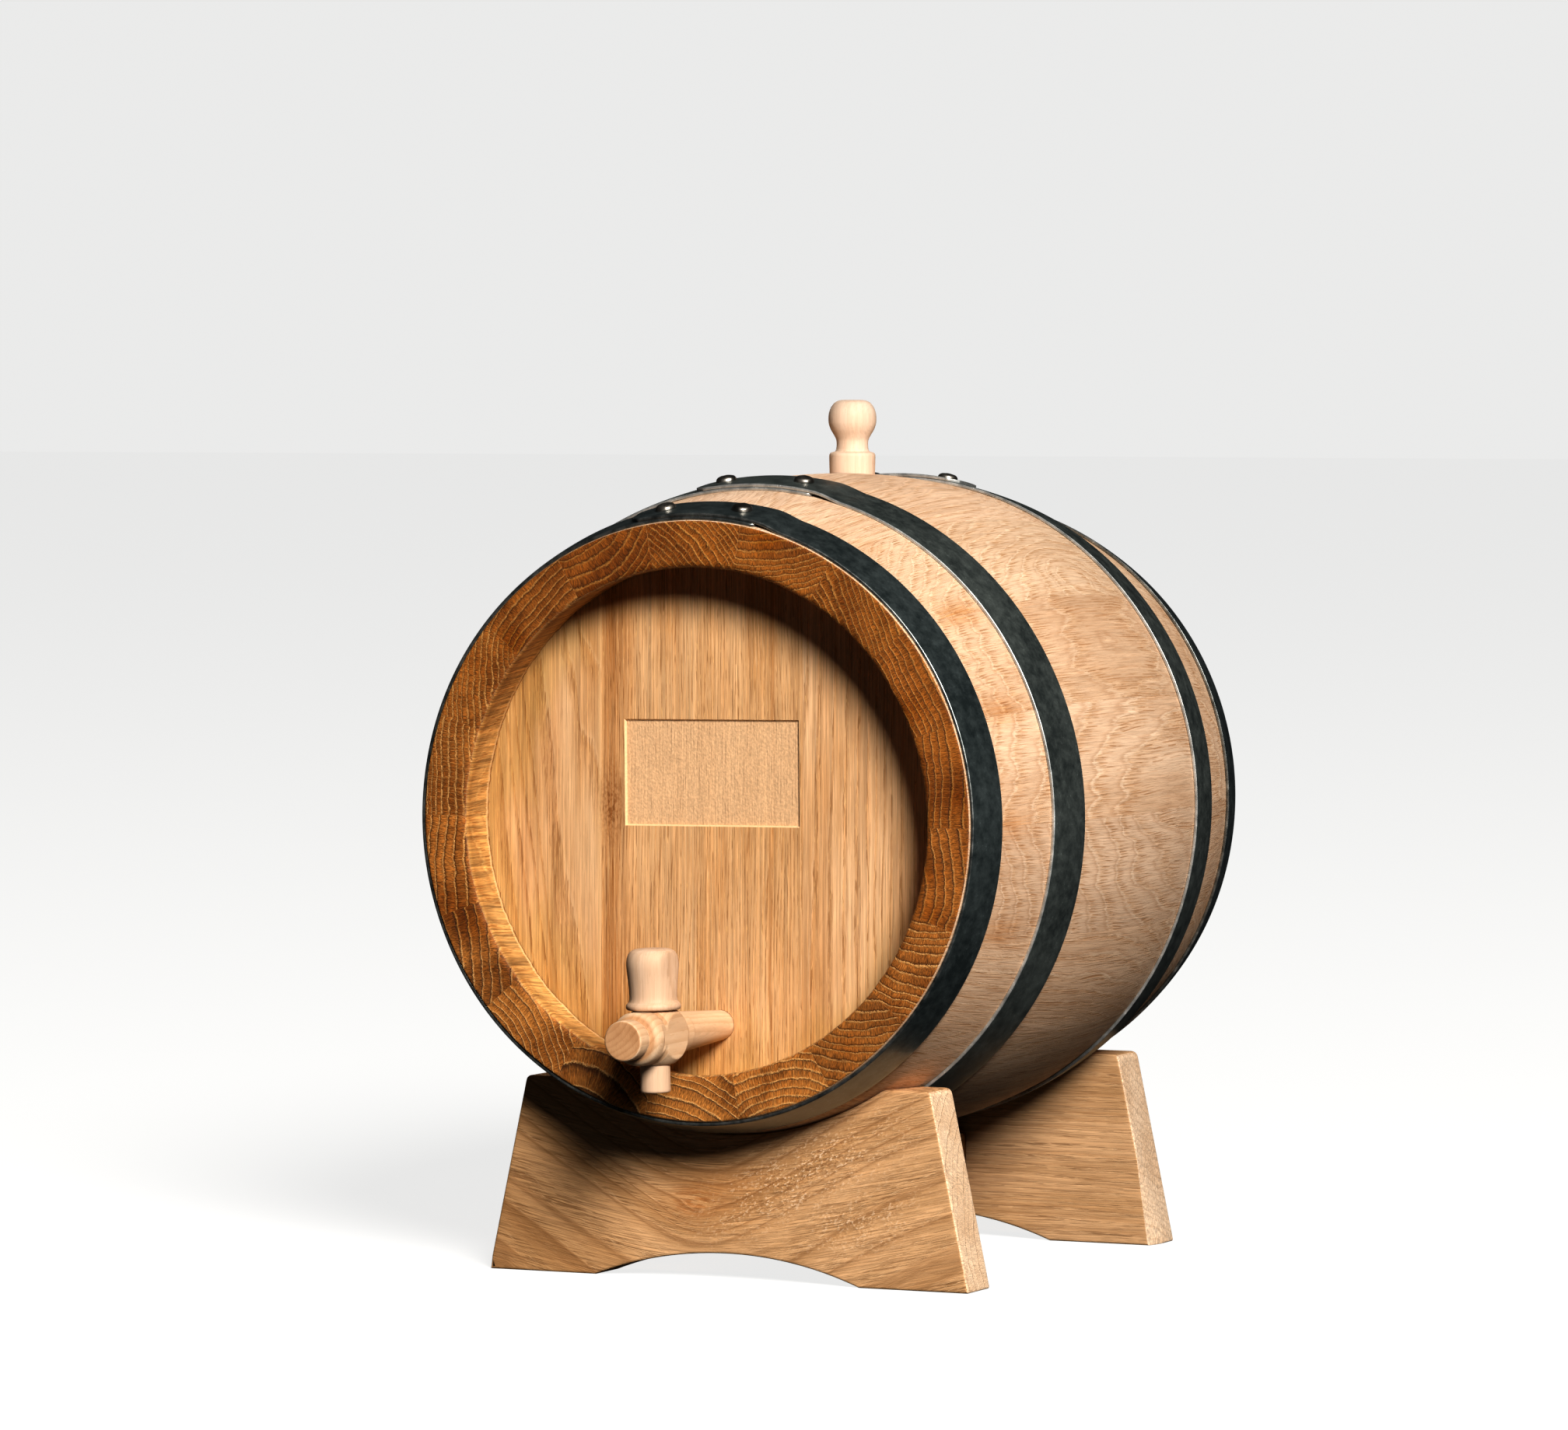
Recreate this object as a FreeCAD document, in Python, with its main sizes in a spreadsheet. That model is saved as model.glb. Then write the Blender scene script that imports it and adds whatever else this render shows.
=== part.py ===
# Oak cask liquor dispenser on a two-plank cradle.
#
# Millimetres, +Z up. The cask lies along Y with its tapped head towards -Y.
# The origin is on the surface the object stands on, at the middle of the
# whole object's footprint.
#
# The cask and everything on it is drawn in the cask's own frame: the origin
# is the centre of the front chime face, +Y runs along the cask's axis into
# the cask and +Z is up. axis_height and front_face_y place that frame.

import FreeCAD, Part
import Sketcher
import math
import os

Vec = FreeCAD.Vector
Rot = FreeCAD.Rotation
Pla = FreeCAD.Placement

doc = FreeCAD.newDocument("oak_cask")
sheet = doc.addObject("Spreadsheet::Sheet", "Dims")

DIMS = [
    # cask shell
    ("cask_length", 236.0, "front chime face to rear chime face"),
    ("end_radius", 100.0, "outside of the staves at both chime faces"),
    ("belly_radius", 115.0, "outside of the staves at half length"),
    ("bilge_arc", 471.633, "radius of the lengthwise arc of the outside"),
    ("chime_radius", 84.2, "inner edge of the chime face"),
    ("recess_depth", 22.2, "chime face to outer face of the head"),
    ("recess_radius", 87.4, "wall of the recess where it meets the head"),
    ("croze_radius", 90.5, "bottom of the groove that holds the head"),
    ("croze_width", 6.0, "groove width and thickness of the head's edge"),
    ("bore_end_radius", 88.5, "inside of the staves next to the croze"),
    ("bore_mid_radius", 100.0, "inside of the staves at half length"),
    ("bore_arc", 356.363, "radius of the lengthwise arc of the inside"),
    ("stave_angle", 20.0, "angle of one stave, 18 to the circle"),
    # heads
    ("head_thick", 11.0, "thickness of a head"),
    ("head_flat_radius", 82.0, "full thickness inside this radius"),
    ("joint_left", 44.5, "head joint left of the axis"),
    ("joint_mid", 9.0, "head joint left of the axis"),
    ("joint_right", 30.0, "head joint right of the axis"),
    ("panel_width", 63.7, "sunk panel on the front head"),
    ("panel_height", 35.0, "sunk panel on the front head"),
    ("panel_left", 35.3, "left edge of the sunk panel, left of the axis"),
    ("panel_bottom", 2.3, "lower edge of the sunk panel below the axis"),
    ("panel_sunk", 1.0, "depth of the sunk panel"),
    ("pin_radius", 2.5, "dowel between two head boards"),
    ("pin_length", 24.0, "dowel between two head boards"),
    ("pin_high", 50.0, "upper row of head dowels above the axis"),
    ("pin_low", 45.0, "lower row of head dowels below the axis"),
    # hoops
    ("hoop_thick", 1.2, "steel strip"),
    ("head_hoop_from", 0.8, "front edge of a head hoop from the chime face"),
    ("head_hoop_to", 16.6, "rear edge of a head hoop from the chime face"),
    ("quarter_hoop_from", 47.0, "front edge of a quarter hoop"),
    ("quarter_hoop_to", 67.3, "rear edge of a quarter hoop"),
    ("head_lap_angle", 27.0, "angle over which a head hoop's ends overlap"),
    ("quarter_lap_angle", 23.0, "angle over which a quarter hoop overlaps"),
    ("head_rivet_angle", 7.7, "rivet either side of the top"),
    ("quarter_rivet_angle", 7.3, "rivet either side of the top"),
    ("rivet_shank", 1.6, "radius of the shank"),
    ("rivet_head", 3.5, "radius of the domed head"),
    ("rivet_dome", 2.4, "height of the domed head"),
    # bung
    ("bung_from_face", 129.0, "bung axis behind the front chime face"),
    ("bung_seat_top", 7.95, "hole radius where it meets the outside"),
    ("bung_seat_low", 7.4, "hole radius at the inside"),
    ("bung_gap", 0.08, "clearance round the bung"),
    # tap
    ("tap_drop", 69.3, "tap axis below the cask axis"),
    ("tap_reach", 53.2, "tap's front end ahead of the chime face"),
    ("tap_tail", 14.0, "tap's tail behind the head"),
    ("tap_hole_front", 4.95, "hole radius at the outer face of the head"),
    ("tap_hole_rear", 4.25, "hole radius at the inner face of the head"),
    ("tap_gap", 0.05, "clearance round the tap's tail"),
    ("tap_bore", 2.5, "radius of the water way along the tap"),
    ("tap_lean", 1.7, "the tap as a whole leans to the left by this"),
    ("key_axis", 29.0, "key axis ahead of the chime face"),
    ("key_top_radius", 5.8, "key plug at the upper flat of the tap"),
    ("key_low_radius", 5.0, "key plug at the lower flat and the outlet"),
    ("key_gap", 0.05, "running clearance round the key plug"),
    ("key_bore", 2.6, "radius of the outlet bore up the key"),
    ("boss_top_flat", 8.3, "upper flat above the tap axis"),
    ("boss_low_flat", 9.3, "lower flat below the tap axis"),
    ("boss_side_flat", 8.0, "side flat from the tap axis"),
    ("key_rise", 29.0, "top of the key above the tap axis"),
    ("key_fall", 18.6, "lower end of the outlet below the tap axis"),
    # stand
    ("axis_height", 156.0, "cask axis above the surface"),
    ("front_face_y", -91.4, "front chime face in the row frame"),
    ("plank_height", 66.7, "height of a cradle plank"),
    ("plank_thick", 18.5, "thickness of a cradle plank"),
    ("plank_top_half", 74.8, "half width at the top"),
    ("plank_foot_half", 89.0, "half width at the floor"),
    ("plank_from_face", 26.5, "front plank behind the front chime face"),
    ("arch_half", 48.9, "half width of the arch between the feet"),
    ("arch_rise", 9.2, "height of the arch"),
    ("arch_arc", 134.557, "radius of the arch"),
    ("saddle_gap", 0.3, "room between cask and saddle"),
    ("rail_width", 34.0, "rail between the planks"),
    ("rail_height", 22.0, "rail between the planks"),
    ("rail_low", 15.0, "underside of the rail above the surface"),
    ("peg_radius", 4.0, "dowel between plank and rail"),
    ("peg_length", 30.0, "dowel between plank and rail"),
    ("peg_in_plank", 12.0, "dowel's share in the plank"),
    ("peg_spread", 9.0, "dowel either side of the middle"),
]
VALUE = {}
for row, (name, number, note) in enumerate(DIMS, 1):
    sheet.set("A%d" % row, name)
    sheet.set("B%d" % row, repr(number))
    sheet.set("C%d" % row, note)
    sheet.setAlias("B%d" % row, name)
    VALUE[name] = number
doc.recompute()


class Q:
    """A number together with the sheet expression that gives it."""

    def __init__(self, v, s):
        self.v, self.s = float(v), s

    @staticmethod
    def of(x):
        return x if isinstance(x, Q) else Q(x, "(%r)" % float(x))

    def __add__(self, o):
        o = Q.of(o)
        return Q(self.v + o.v, "(%s + %s)" % (self.s, o.s))

    __radd__ = __add__

    def __sub__(self, o):
        o = Q.of(o)
        return Q(self.v - o.v, "(%s - %s)" % (self.s, o.s))

    def __rsub__(self, o):
        return Q.of(o) - self

    def __mul__(self, o):
        o = Q.of(o)
        return Q(self.v * o.v, "(%s * %s)" % (self.s, o.s))

    __rmul__ = __mul__

    def __truediv__(self, o):
        o = Q.of(o)
        return Q(self.v / o.v, "(%s / %s)" % (self.s, o.s))

    def __neg__(self):
        return Q(-self.v, "(0 - %s)" % self.s)


def root(q):
    return Q(math.sqrt(q.v), "sqrt(%s)" % q.s)


def D(name):
    return Q(VALUE[name], "Dims." + name)


def bind(obj, prop, q):
    obj.setExpression(prop, Q.of(q).s)


def plane(body, role):
    for feature in body.Origin.OriginFeatures:
        if feature.Role == role:
            return feature
    raise RuntimeError("no plane " + role)


def outline(body, role, name, points, arcs=None):
    """Closed sketch through the points. Every corner is held to the sheet;
    arcs maps the index of a segment to (point it bulges through, radius)."""
    arcs = arcs or {}
    sk = body.newObject("Sketcher::SketchObject", name)
    sk.AttachmentSupport = [(plane(body, role), "")]
    sk.MapMode = "FlatFace"
    pts = [(Q.of(a), Q.of(b)) for a, b in points]
    count = len(pts)
    ends = []                      # (first, last) point position of each segment
    for i in range(count):
        a, b = pts[i], pts[(i + 1) % count]
        p, q = Vec(a[0].v, a[1].v, 0), Vec(b[0].v, b[1].v, 0)
        if i in arcs:
            via = Vec(arcs[i][0][0], arcs[i][0][1], 0)
            left_turn = (via - p).cross(q - via).z > 0
            # arcs are drawn counter-clockwise whichever way the outline runs
            sk.addGeometry(Part.Arc(p, via, q) if left_turn else Part.Arc(q, via, p), False)
            ends.append((1, 2) if left_turn else (2, 1))
        else:
            sk.addGeometry(Part.LineSegment(p, q), False)
            ends.append((1, 2))
    for i in range(count):
        j = (i + 1) % count
        sk.addConstraint(Sketcher.Constraint("Coincident", i, ends[i][1], j, ends[j][0]))
    for i in range(count):
        pos = ends[i][0]
        for kind, q, line in (("DistanceX", pts[i][0], -2), ("DistanceY", pts[i][1], -1)):
            if abs(q.v) < 1e-9:
                sk.addConstraint(Sketcher.Constraint("PointOnObject", i, pos, line))
                continue
            if q.v > 0:
                n = sk.addConstraint(Sketcher.Constraint(kind, -1, 1, i, pos, q.v))
                text = q.s
            else:
                n = sk.addConstraint(Sketcher.Constraint(kind, i, pos, -1, 1, -q.v))
                text = (-q).s
            label = "%s%d" % ("px" if kind == "DistanceX" else "py", i)
            sk.renameConstraint(n, label)
            sk.setExpression("Constraints." + label, text)
    for i in arcs:
        n = sk.addConstraint(Sketcher.Constraint("Radius", i, Q.of(arcs[i][1]).v))
        sk.renameConstraint(n, "arc%d" % i)
        sk.setExpression("Constraints.arc%d" % i, Q.of(arcs[i][1]).s)
    return sk


def new_body(name):
    return doc.addObject("PartDesign::Body", name)


def revolve(body, sk, axis, name, angle=None):
    """Turn a profile about a sketch axis, all round or centred on its plane."""
    rev = body.newObject("PartDesign::Revolution", name)
    rev.Profile = sk
    rev.ReferenceAxis = (sk, [axis])
    if angle is None:
        rev.Angle = 360.0
    else:
        rev.Midplane = True
        bind(rev, "Angle", angle)
    sk.Visibility = False
    return rev


def solid(kind, name, sizes, base=None, turn=None):
    """A primitive whose sizes, and place if given, are held to the sheet."""
    obj = doc.addObject("Part::" + kind, name)
    for prop, q in sizes.items():
        setattr(obj, prop, Q.of(q).v)
        bind(obj, prop, q)
    base = [Q.of(b) for b in (base or (0, 0, 0))]
    obj.Placement = Pla(Vec(*[b.v for b in base]), turn or Rot())
    for letter, b in zip("xyz", base):
        bind(obj, "Placement.Base." + letter, b)
    return obj


def cut(name, base, tool):
    obj = doc.addObject("Part::Cut", name)
    obj.Base, obj.Tool = base, tool
    return obj


def common(name, base, tool):
    obj = doc.addObject("Part::Common", name)
    obj.Base, obj.Tool = base, tool
    return obj


def joined(name, shapes):
    obj = doc.addObject("Part::MultiFuse", name)
    obj.Shapes = shapes
    return obj


def group(name, shapes):
    obj = doc.addObject("Part::Compound", name)
    obj.Links = shapes
    return obj


PARTS = []


def keep(obj, label):
    obj.Label = label
    PARTS.append(obj)
    return obj


def place_in_cask(obj, turn=None):
    """Put something drawn in the cask's frame where the cask lies."""
    obj.Placement = Pla(Vec(0, VALUE["front_face_y"], VALUE["axis_height"]), turn or Rot())
    bind(obj, "Placement.Base.y", D("front_face_y"))
    bind(obj, "Placement.Base.z", D("axis_height"))


ALONG_Y = Rot(Vec(1, 0, 0), -90)       # a primitive's Z becomes +Y
ALONG_X = Rot(Vec(0, 1, 0), 90)        # a primitive's Z becomes +X
HALF = D("cask_length") / 2


def outside(y):
    """Outside radius of the staves at a distance y from the front face."""
    d = Q.of(y) - HALF
    return D("belly_radius") - D("bilge_arc") + root(D("bilge_arc") * D("bilge_arc") - d * d)


# ---------------------------------------------------------------- staves
# Eighteen staves, each a twenty degree slice of the shell. Stave 1 is at the
# top with the bung hole in it; the others follow clockwise seen from the
# front. The joints between them are radial planes.
def stave_profile(body):
    ln, rd, cw = D("cask_length"), D("recess_depth"), D("croze_width")
    pts = [
        (0, D("chime_radius")),
        (0, D("end_radius")),
        (ln, D("end_radius")),
        (ln, D("chime_radius")),
        (ln - rd, D("recess_radius")),
        (ln - rd, D("croze_radius")),
        (ln - rd - cw, D("croze_radius")),
        (ln - rd - cw, D("bore_end_radius")),
        (rd + cw, D("bore_end_radius")),
        (rd + cw, D("croze_radius")),
        (rd, D("croze_radius")),
        (rd, D("recess_radius")),
    ]
    arcs = {
        1: ((HALF.v, VALUE["belly_radius"]), D("bilge_arc")),
        7: ((HALF.v, VALUE["bore_mid_radius"]), D("bore_arc")),
    }
    return outline(body, "YZ_Plane", body.Name + "_profile", pts, arcs)


for number in range(1, 19):
    body = new_body("stave%02d" % number)
    revolve(body, stave_profile(body), "H_Axis", "stave%02d_turn" % number, D("stave_angle"))
    obj = body
    if number == 1:
        # tapered bung hole straight down through the stave
        top = D("belly_radius") + 4
        low = D("bore_mid_radius") - 4
        slope = (D("bung_seat_top") - D("bung_seat_low")) / 15.0
        hole = solid("Cone", "bung_hole", {
            "Radius1": D("bung_seat_low") - slope * 4,
            "Radius2": D("bung_seat_top") + slope * 4,
            "Height": top - low},
            base=(0, D("bung_from_face"), low))
        obj = cut("stave01_bored", body, hole)
    keep(obj, "stave_%02d" % number)
    turn = Rot(Vec(0, 1, 0), VALUE["stave_angle"] * (number - 1))
    place_in_cask(obj, turn)
    if number > 1:
        bind(obj, "Placement.Rotation.Angle", D("stave_angle") * (number - 1))

# ---------------------------------------------------------------- heads
# Each head is four boards dowelled edge to edge, bevelled on the inside so
# that its edge fits the croze. The front head carries the sunk panel and
# the tap hole.
def head_disc(name):
    body = new_body(name)
    rd, cw = D("recess_depth"), D("croze_width")
    pts = [
        (rd, 0),
        (rd, D("croze_radius") - 0.1),
        (rd + cw, D("croze_radius") - 0.1),
        (rd + cw, D("bore_end_radius") - 0.1),
        (rd + D("head_thick"), D("head_flat_radius")),
        (rd + D("head_thick"), 0),
    ]
    revolve(body, outline(body, "YZ_Plane", name + "_profile", pts), "H_Axis", name + "_turn")
    return body


def pin_cylinders(prefix):
    made = []
    for side, joint in (("left", -D("joint_left")), ("mid", -D("joint_mid")), ("right", D("joint_right"))):
        for row, height in (("high", D("pin_high")), ("low", -D("pin_low"))):
            made.append(solid("Cylinder", "%s_%s_%s" % (prefix, side, row), {
                "Radius": D("pin_radius"), "Height": D("pin_length")},
                base=(joint - D("pin_length") / 2, D("recess_depth") + D("head_thick") / 2 + 0.5, height),
                turn=ALONG_X))
    return made


for end in ("front", "rear"):
    disc = head_disc(end + "_disc")
    pins = pin_cylinders(end + "_pin")
    tools = pin_cylinders(end + "_pin_hole")
    if end == "front":
        # tapered tap hole, its cone carried past both faces
        slope = (D("tap_hole_front") - D("tap_hole_rear")) / D("head_thick")
        tools.append(solid("Cone", "tap_hole", {
            "Radius1": D("tap_hole_front") + slope * 1.0,
            "Radius2": D("tap_hole_rear") - slope * 1.0,
            "Height": D("head_thick") + 2},
            base=(0, D("recess_depth") - 1, -D("tap_drop")), turn=ALONG_Y))
        tools.append(solid("Box", "sunk_panel", {
            "Length": D("panel_width"), "Width": D("panel_sunk") + 1, "Height": D("panel_height")},
            base=(-D("panel_left"), D("recess_depth") - 1, -D("panel_bottom"))))
    bored = cut(end + "_disc_bored", disc, joined(end + "_disc_tools", tools))
    limits = [-(D("croze_radius") + 2), -D("joint_left"), -D("joint_mid"), D("joint_right"), D("croze_radius") + 2]
    turn = Rot() if end == "front" else Rot(Vec(0, 0, 1), 180)
    for number in range(4):
        lo, hi = limits[number], limits[number + 1]
        slab = solid("Box", "%s_slab_%d" % (end, number + 1), {
            "Length": hi - lo, "Width": D("head_thick") + 4, "Height": (D("croze_radius") + 2) * 2},
            base=(lo, D("recess_depth") - 2, -(D("croze_radius") + 2)))
        board = keep(common("%s_board_%d" % (end, number + 1), bored, slab),
                     "%s_head_board_%d" % (end, number + 1))
        place_in_cask(board, turn)
        if end == "rear":
            bind(board, "Placement.Base.y", D("front_face_y") + D("cask_length"))
    pegs = keep(group(end + "_pins", pins), end + "_head_dowels")
    place_in_cask(pegs, turn)
    if end == "rear":
        bind(pegs, "Placement.Base.y", D("front_face_y") + D("cask_length"))

# ---------------------------------------------------------------- hoops
# A hoop is one steel strip shaped to the cask. Its ends lap over each other
# at the top, where two domed rivets hold them.
def hoop_section(body, name, start, stop, inner, outer):
    pts = [
        (start, outside(start) + inner),
        (start, outside(start) + outer),
        (stop, outside(stop) + outer),
        (stop, outside(stop) + inner),
    ]
    mid = (start.v + stop.v) / 2
    radius = outside(mid).v
    arcs = {
        1: ((mid, radius + Q.of(outer).v), D("bilge_arc")),
        3: ((mid, radius + Q.of(inner).v), D("bilge_arc")),
    }
    return outline(body, "YZ_Plane", name, pts, arcs)


def hoop(name, start, stop, lap_angle, rivet_angle):
    body = new_body(name + "_strip")
    thick = D("hoop_thick")
    revolve(body, hoop_section(body, name + "_section", start, stop, 0, thick), "H_Axis", name + "_ring")
    revolve(body, hoop_section(body, name + "_lap_section", start, stop, thick, thick * 2),
            "H_Axis", name + "_lap", lap_angle)
    doc.recompute()
    mid = (start + stop) / 2
    slope = math.degrees(math.asin((HALF.v - mid.v) / VALUE["bilge_arc"]))
    reach = outside(mid) + thick * 2
    holes, rivets = [], []
    for side, sign in (("left", -1), ("right", 1)):
        # local Z of the rivet is square to the strip
        turn = Rot(Vec(0, 1, 0), sign * rivet_angle.v).multiply(Rot(Vec(1, 0, 0), slope))
        out = Rot(Vec(0, 1, 0), sign * rivet_angle.v).multVec(Vec(0, 0, reach.v))
        spot = Vec(out.x, mid.v, out.z)
        hole = doc.addObject("Part::Cylinder", "%s_hole_%s" % (name, side))
        bind(hole, "Radius", D("rivet_shank"))
        hole.Height = 8
        hole.Placement = Pla(spot, turn).multiply(Pla(Vec(0, 0, -5), Rot()))
        holes.append(hole)
        pin = new_body("%s_rivet_%s" % (name, side))
        shank, head, dome = D("rivet_shank"), D("rivet_head"), D("rivet_dome")
        bulge = (head * head + dome * dome) / (dome * 2)
        half = math.asin(VALUE["rivet_head"] / bulge.v) / 2
        via = (bulge.v * math.sin(half), bulge.v * math.cos(half) - bulge.v + dome.v)
        sk = outline(pin, "XZ_Plane", pin.Name + "_profile", [
            (0, 0.15 - thick * 2),
            (shank, 0.15 - thick * 2),
            (shank, 0.03),
            (head, 0.03),
            (0, dome + 0.03)], {3: ((via[0], via[1] + 0.03), bulge)})
        revolve(pin, sk, "V_Axis", pin.Name + "_turn")
        pin.Placement = Pla(spot, turn)
        rivets.append(pin)
    ring = cut(name + "_pierced", body, joined(name + "_holes", holes))
    return ring, rivets


ALL_RIVETS = []
for name, start, stop, lap, rivet in (
        ("head_hoop", D("head_hoop_from"), D("head_hoop_to"), D("head_lap_angle"), D("head_rivet_angle")),
        ("quarter_hoop", D("quarter_hoop_from"), D("quarter_hoop_to"), D("quarter_lap_angle"), D("quarter_rivet_angle"))):
    ring, rivets = hoop("front_" + name, start, stop, lap, rivet)
    place_in_cask(keep(ring, "front_" + name))
    ALL_RIVETS.append((rivets, False))
    ring, rivets = hoop("rear_" + name, start, stop, lap, rivet)
    keep(ring, "rear_" + name)
    place_in_cask(ring, Rot(Vec(0, 0, 1), 180))
    bind(ring, "Placement.Base.y", D("front_face_y") + D("cask_length"))
    ALL_RIVETS.append((rivets, True))

flip = Pla(Vec(0, VALUE["cask_length"], 0), Rot(Vec(0, 0, 1), 180))
every_rivet = []
for rivets, at_rear in ALL_RIVETS:
    for pin in rivets:
        if at_rear:
            pin.Placement = flip.multiply(pin.Placement)
        every_rivet.append(pin)
place_in_cask(keep(group("rivet_set", every_rivet), "hoop_rivets"))

# ---------------------------------------------------------------- bung
# Turned bung: flat topped knob, waist, shouldered body that tapers into the
# stave. Its frame's origin is on the bung axis at the stave's outside.
body = new_body("bung_turned")
gap = D("bung_gap")
taper = (D("bung_seat_top") - D("bung_seat_low")) / 15.0
pts = [
    (0, -17.5),
    (D("bung_seat_low") - gap - taper * 2.5 - 0.8, -17.5),
    (D("bung_seat_low") - gap - taper * 1.7, -16.7),
    (D("bung_seat_top") - gap, 0),
    (D("bung_seat_top") - gap + taper * 5.9, 5.9),
    (D("bung_seat_top") - 1.25, 7.15),
    (5.95, 7.9),
    (5.6, 10.0),
    (5.65, 11.6),
    (7.7, 15.0),
    (8.3, 18.7),
    (7.4, 22.7),
    (3.7, 25.5),
    (0, 25.5),
]
arcs = {
    4: ((7.85, 6.85), Q.of(1.27)),
    9: ((8.16, 16.8), Q.of(9.0)),
    10: ((8.13, 20.85), Q.of(6.5)),
    11: ((5.9, 24.65), Q.of(5.6)),
}
arcs = {}
sk = outline(body, "XZ_Plane", "bung_profile", pts, arcs)
revolve(body, sk, "V_Axis", "bung_turn")
keep(body, "bung")
body.Placement = Pla(Vec(0, VALUE["front_face_y"] + VALUE["bung_from_face"],
                         VALUE["axis_height"] + outside(D("bung_from_face")).v), Rot())
bind(body, "Placement.Base.y", D("front_face_y") + D("bung_from_face"))
bind(body, "Placement.Base.z", D("axis_height") + outside(D("bung_from_face")))

# ---------------------------------------------------------------- tap
# Frame of the tap: origin on the tap's own axis in the plane of the front
# chime face, +Y into the cask. The whole tap leans a little to the left.
def place_tap(obj):
    obj.Placement = Pla(Vec(0, VALUE["front_face_y"], VALUE["axis_height"] - VALUE["tap_drop"]),
                        Rot(Vec(0, 1, 0), -VALUE["tap_lean"]))
    bind(obj, "Placement.Base.y", D("front_face_y"))
    bind(obj, "Placement.Base.z", D("axis_height") - D("tap_drop"))


body = new_body("tap_turned")
reach = D("tap_reach")
slope = (D("tap_hole_front") - D("tap_hole_rear")) / D("head_thick")
tail = D("recess_depth") + D("head_thick") + D("tap_tail")
pts = [
    (-reach, 0),
    (-reach, 6.2),
    (-reach + 0.5, 6.7),
    (-46.6, 6.7),
    (-45.8, 6.1),
    (-44.8, 7.7),
    (-42.0, 9.0),
    (-38.0, 9.1),
    (-35.8, 8.3),
    (-19.8, 8.0),
    (-17.6, 7.2),
    (-12.6, 7.2),
    (-12.2, 6.9),
    (D("recess_depth"), D("tap_hole_front") - D("tap_gap")),
    (tail, D("tap_hole_front") - D("tap_gap") - slope * (D("head_thick") + D("tap_tail"))),
    (tail, 0),
]
sk = outline(body, "YZ_Plane", "tap_profile", pts, {8: ((-29.0, 11.0), Q.of(13.2))})
revolve(body, sk, "H_Axis", "tap_turn")
# flats round the key, the seat for the key's plug and the water way
tools = [
    solid("Box", "top_flat", {"Length": 40, "Width": 27.0, "Height": 10},
          base=(-20, -43.0, D("boss_top_flat"))),
    solid("Box", "low_flat", {"Length": 40, "Width": 26.0, "Height": 10},
          base=(-20, -42.0, -D("boss_low_flat") - 10)),
    solid("Box", "left_flat", {"Length": 10, "Width": 22.0, "Height": 40},
          base=(-D("boss_side_flat") - 10, -40.0, -20)),
    solid("Box", "right_flat", {"Length": 10, "Width": 22.0, "Height": 40},
          base=(D("boss_side_flat"), -40.0, -20)),
]
flat_height = D("boss_top_flat") + D("boss_low_flat")
key_slope = (D("key_top_radius") - D("key_low_radius")) / flat_height
tools.append(solid("Cone", "key_seat", {
    "Radius1": D("key_low_radius") + D("key_gap") - key_slope * 4,
    "Radius2": D("key_top_radius") + D("key_gap") + key_slope * 4,
    "Height": flat_height + 8},
    base=(0, -D("key_axis"), -D("boss_low_flat") - 4)))
tools.append(solid("Cylinder", "tap_way", {
    "Radius": D("tap_bore"), "Height": D("key_axis") + tail + 1},
    base=(0, -D("key_axis"), 0), turn=ALONG_Y))
tap = keep(cut("tap_worked", body, joined("tap_tools", tools)), "tap_body")
place_tap(tap)

# The key: thumb piece, collar, tapered plug and outlet in one turned piece,
# bored up from the outlet to a cross hole level with the tap's water way.
body = new_body("key_turned")
sit = D("boss_top_flat") + 0.35
low = -D("boss_low_flat")
pts = [
    (0, -D("key_fall")),
    (D("key_low_radius") - 0.25, -D("key_fall")),
    (D("key_low_radius"), -D("key_fall") + 0.4),
    (D("key_low_radius"), low),
    (D("key_top_radius"), D("boss_top_flat")),
    (D("key_top_radius"), sit),
    (8.5, sit),
    (9.1, sit + 0.8),
    (9.1, sit + 1.7),
    (8.5, sit + 2.4),
    (8.0, sit + 3.2),
    (8.05, sit + 5.0),
    (8.35, sit + 9.0),
    (8.75, sit + 14.0),
    (8.45, sit + 17.3),
    (7.1, sit + 19.6),
    (5.4, D("key_rise") - 0.1),
    (0, D("key_rise")),
]
sk = outline(body, "XZ_Plane", "key_profile", pts)
revolve(body, sk, "V_Axis", "key_turn")
tools = [
    solid("Cylinder", "outlet_bore", {"Radius": D("key_bore"), "Height": D("key_fall") + 3.0},
          base=(0, 0, -D("key_fall") - 1)),
    solid("Cylinder", "cross_hole", {"Radius": D("tap_bore"), "Height": 12},
          base=(0, 0, 0), turn=ALONG_Y),
]
key = keep(cut("key_bored", body, joined("key_tools", tools)), "tap_key")
lean = Rot(Vec(0, 1, 0), -VALUE["tap_lean"])
key.Placement = Pla(Vec(0, VALUE["front_face_y"] - VALUE["key_axis"],
                        VALUE["axis_height"] - VALUE["tap_drop"]), lean)
bind(key, "Placement.Base.y", D("front_face_y") - D("key_axis"))
bind(key, "Placement.Base.z", D("axis_height") - D("tap_drop"))

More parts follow.
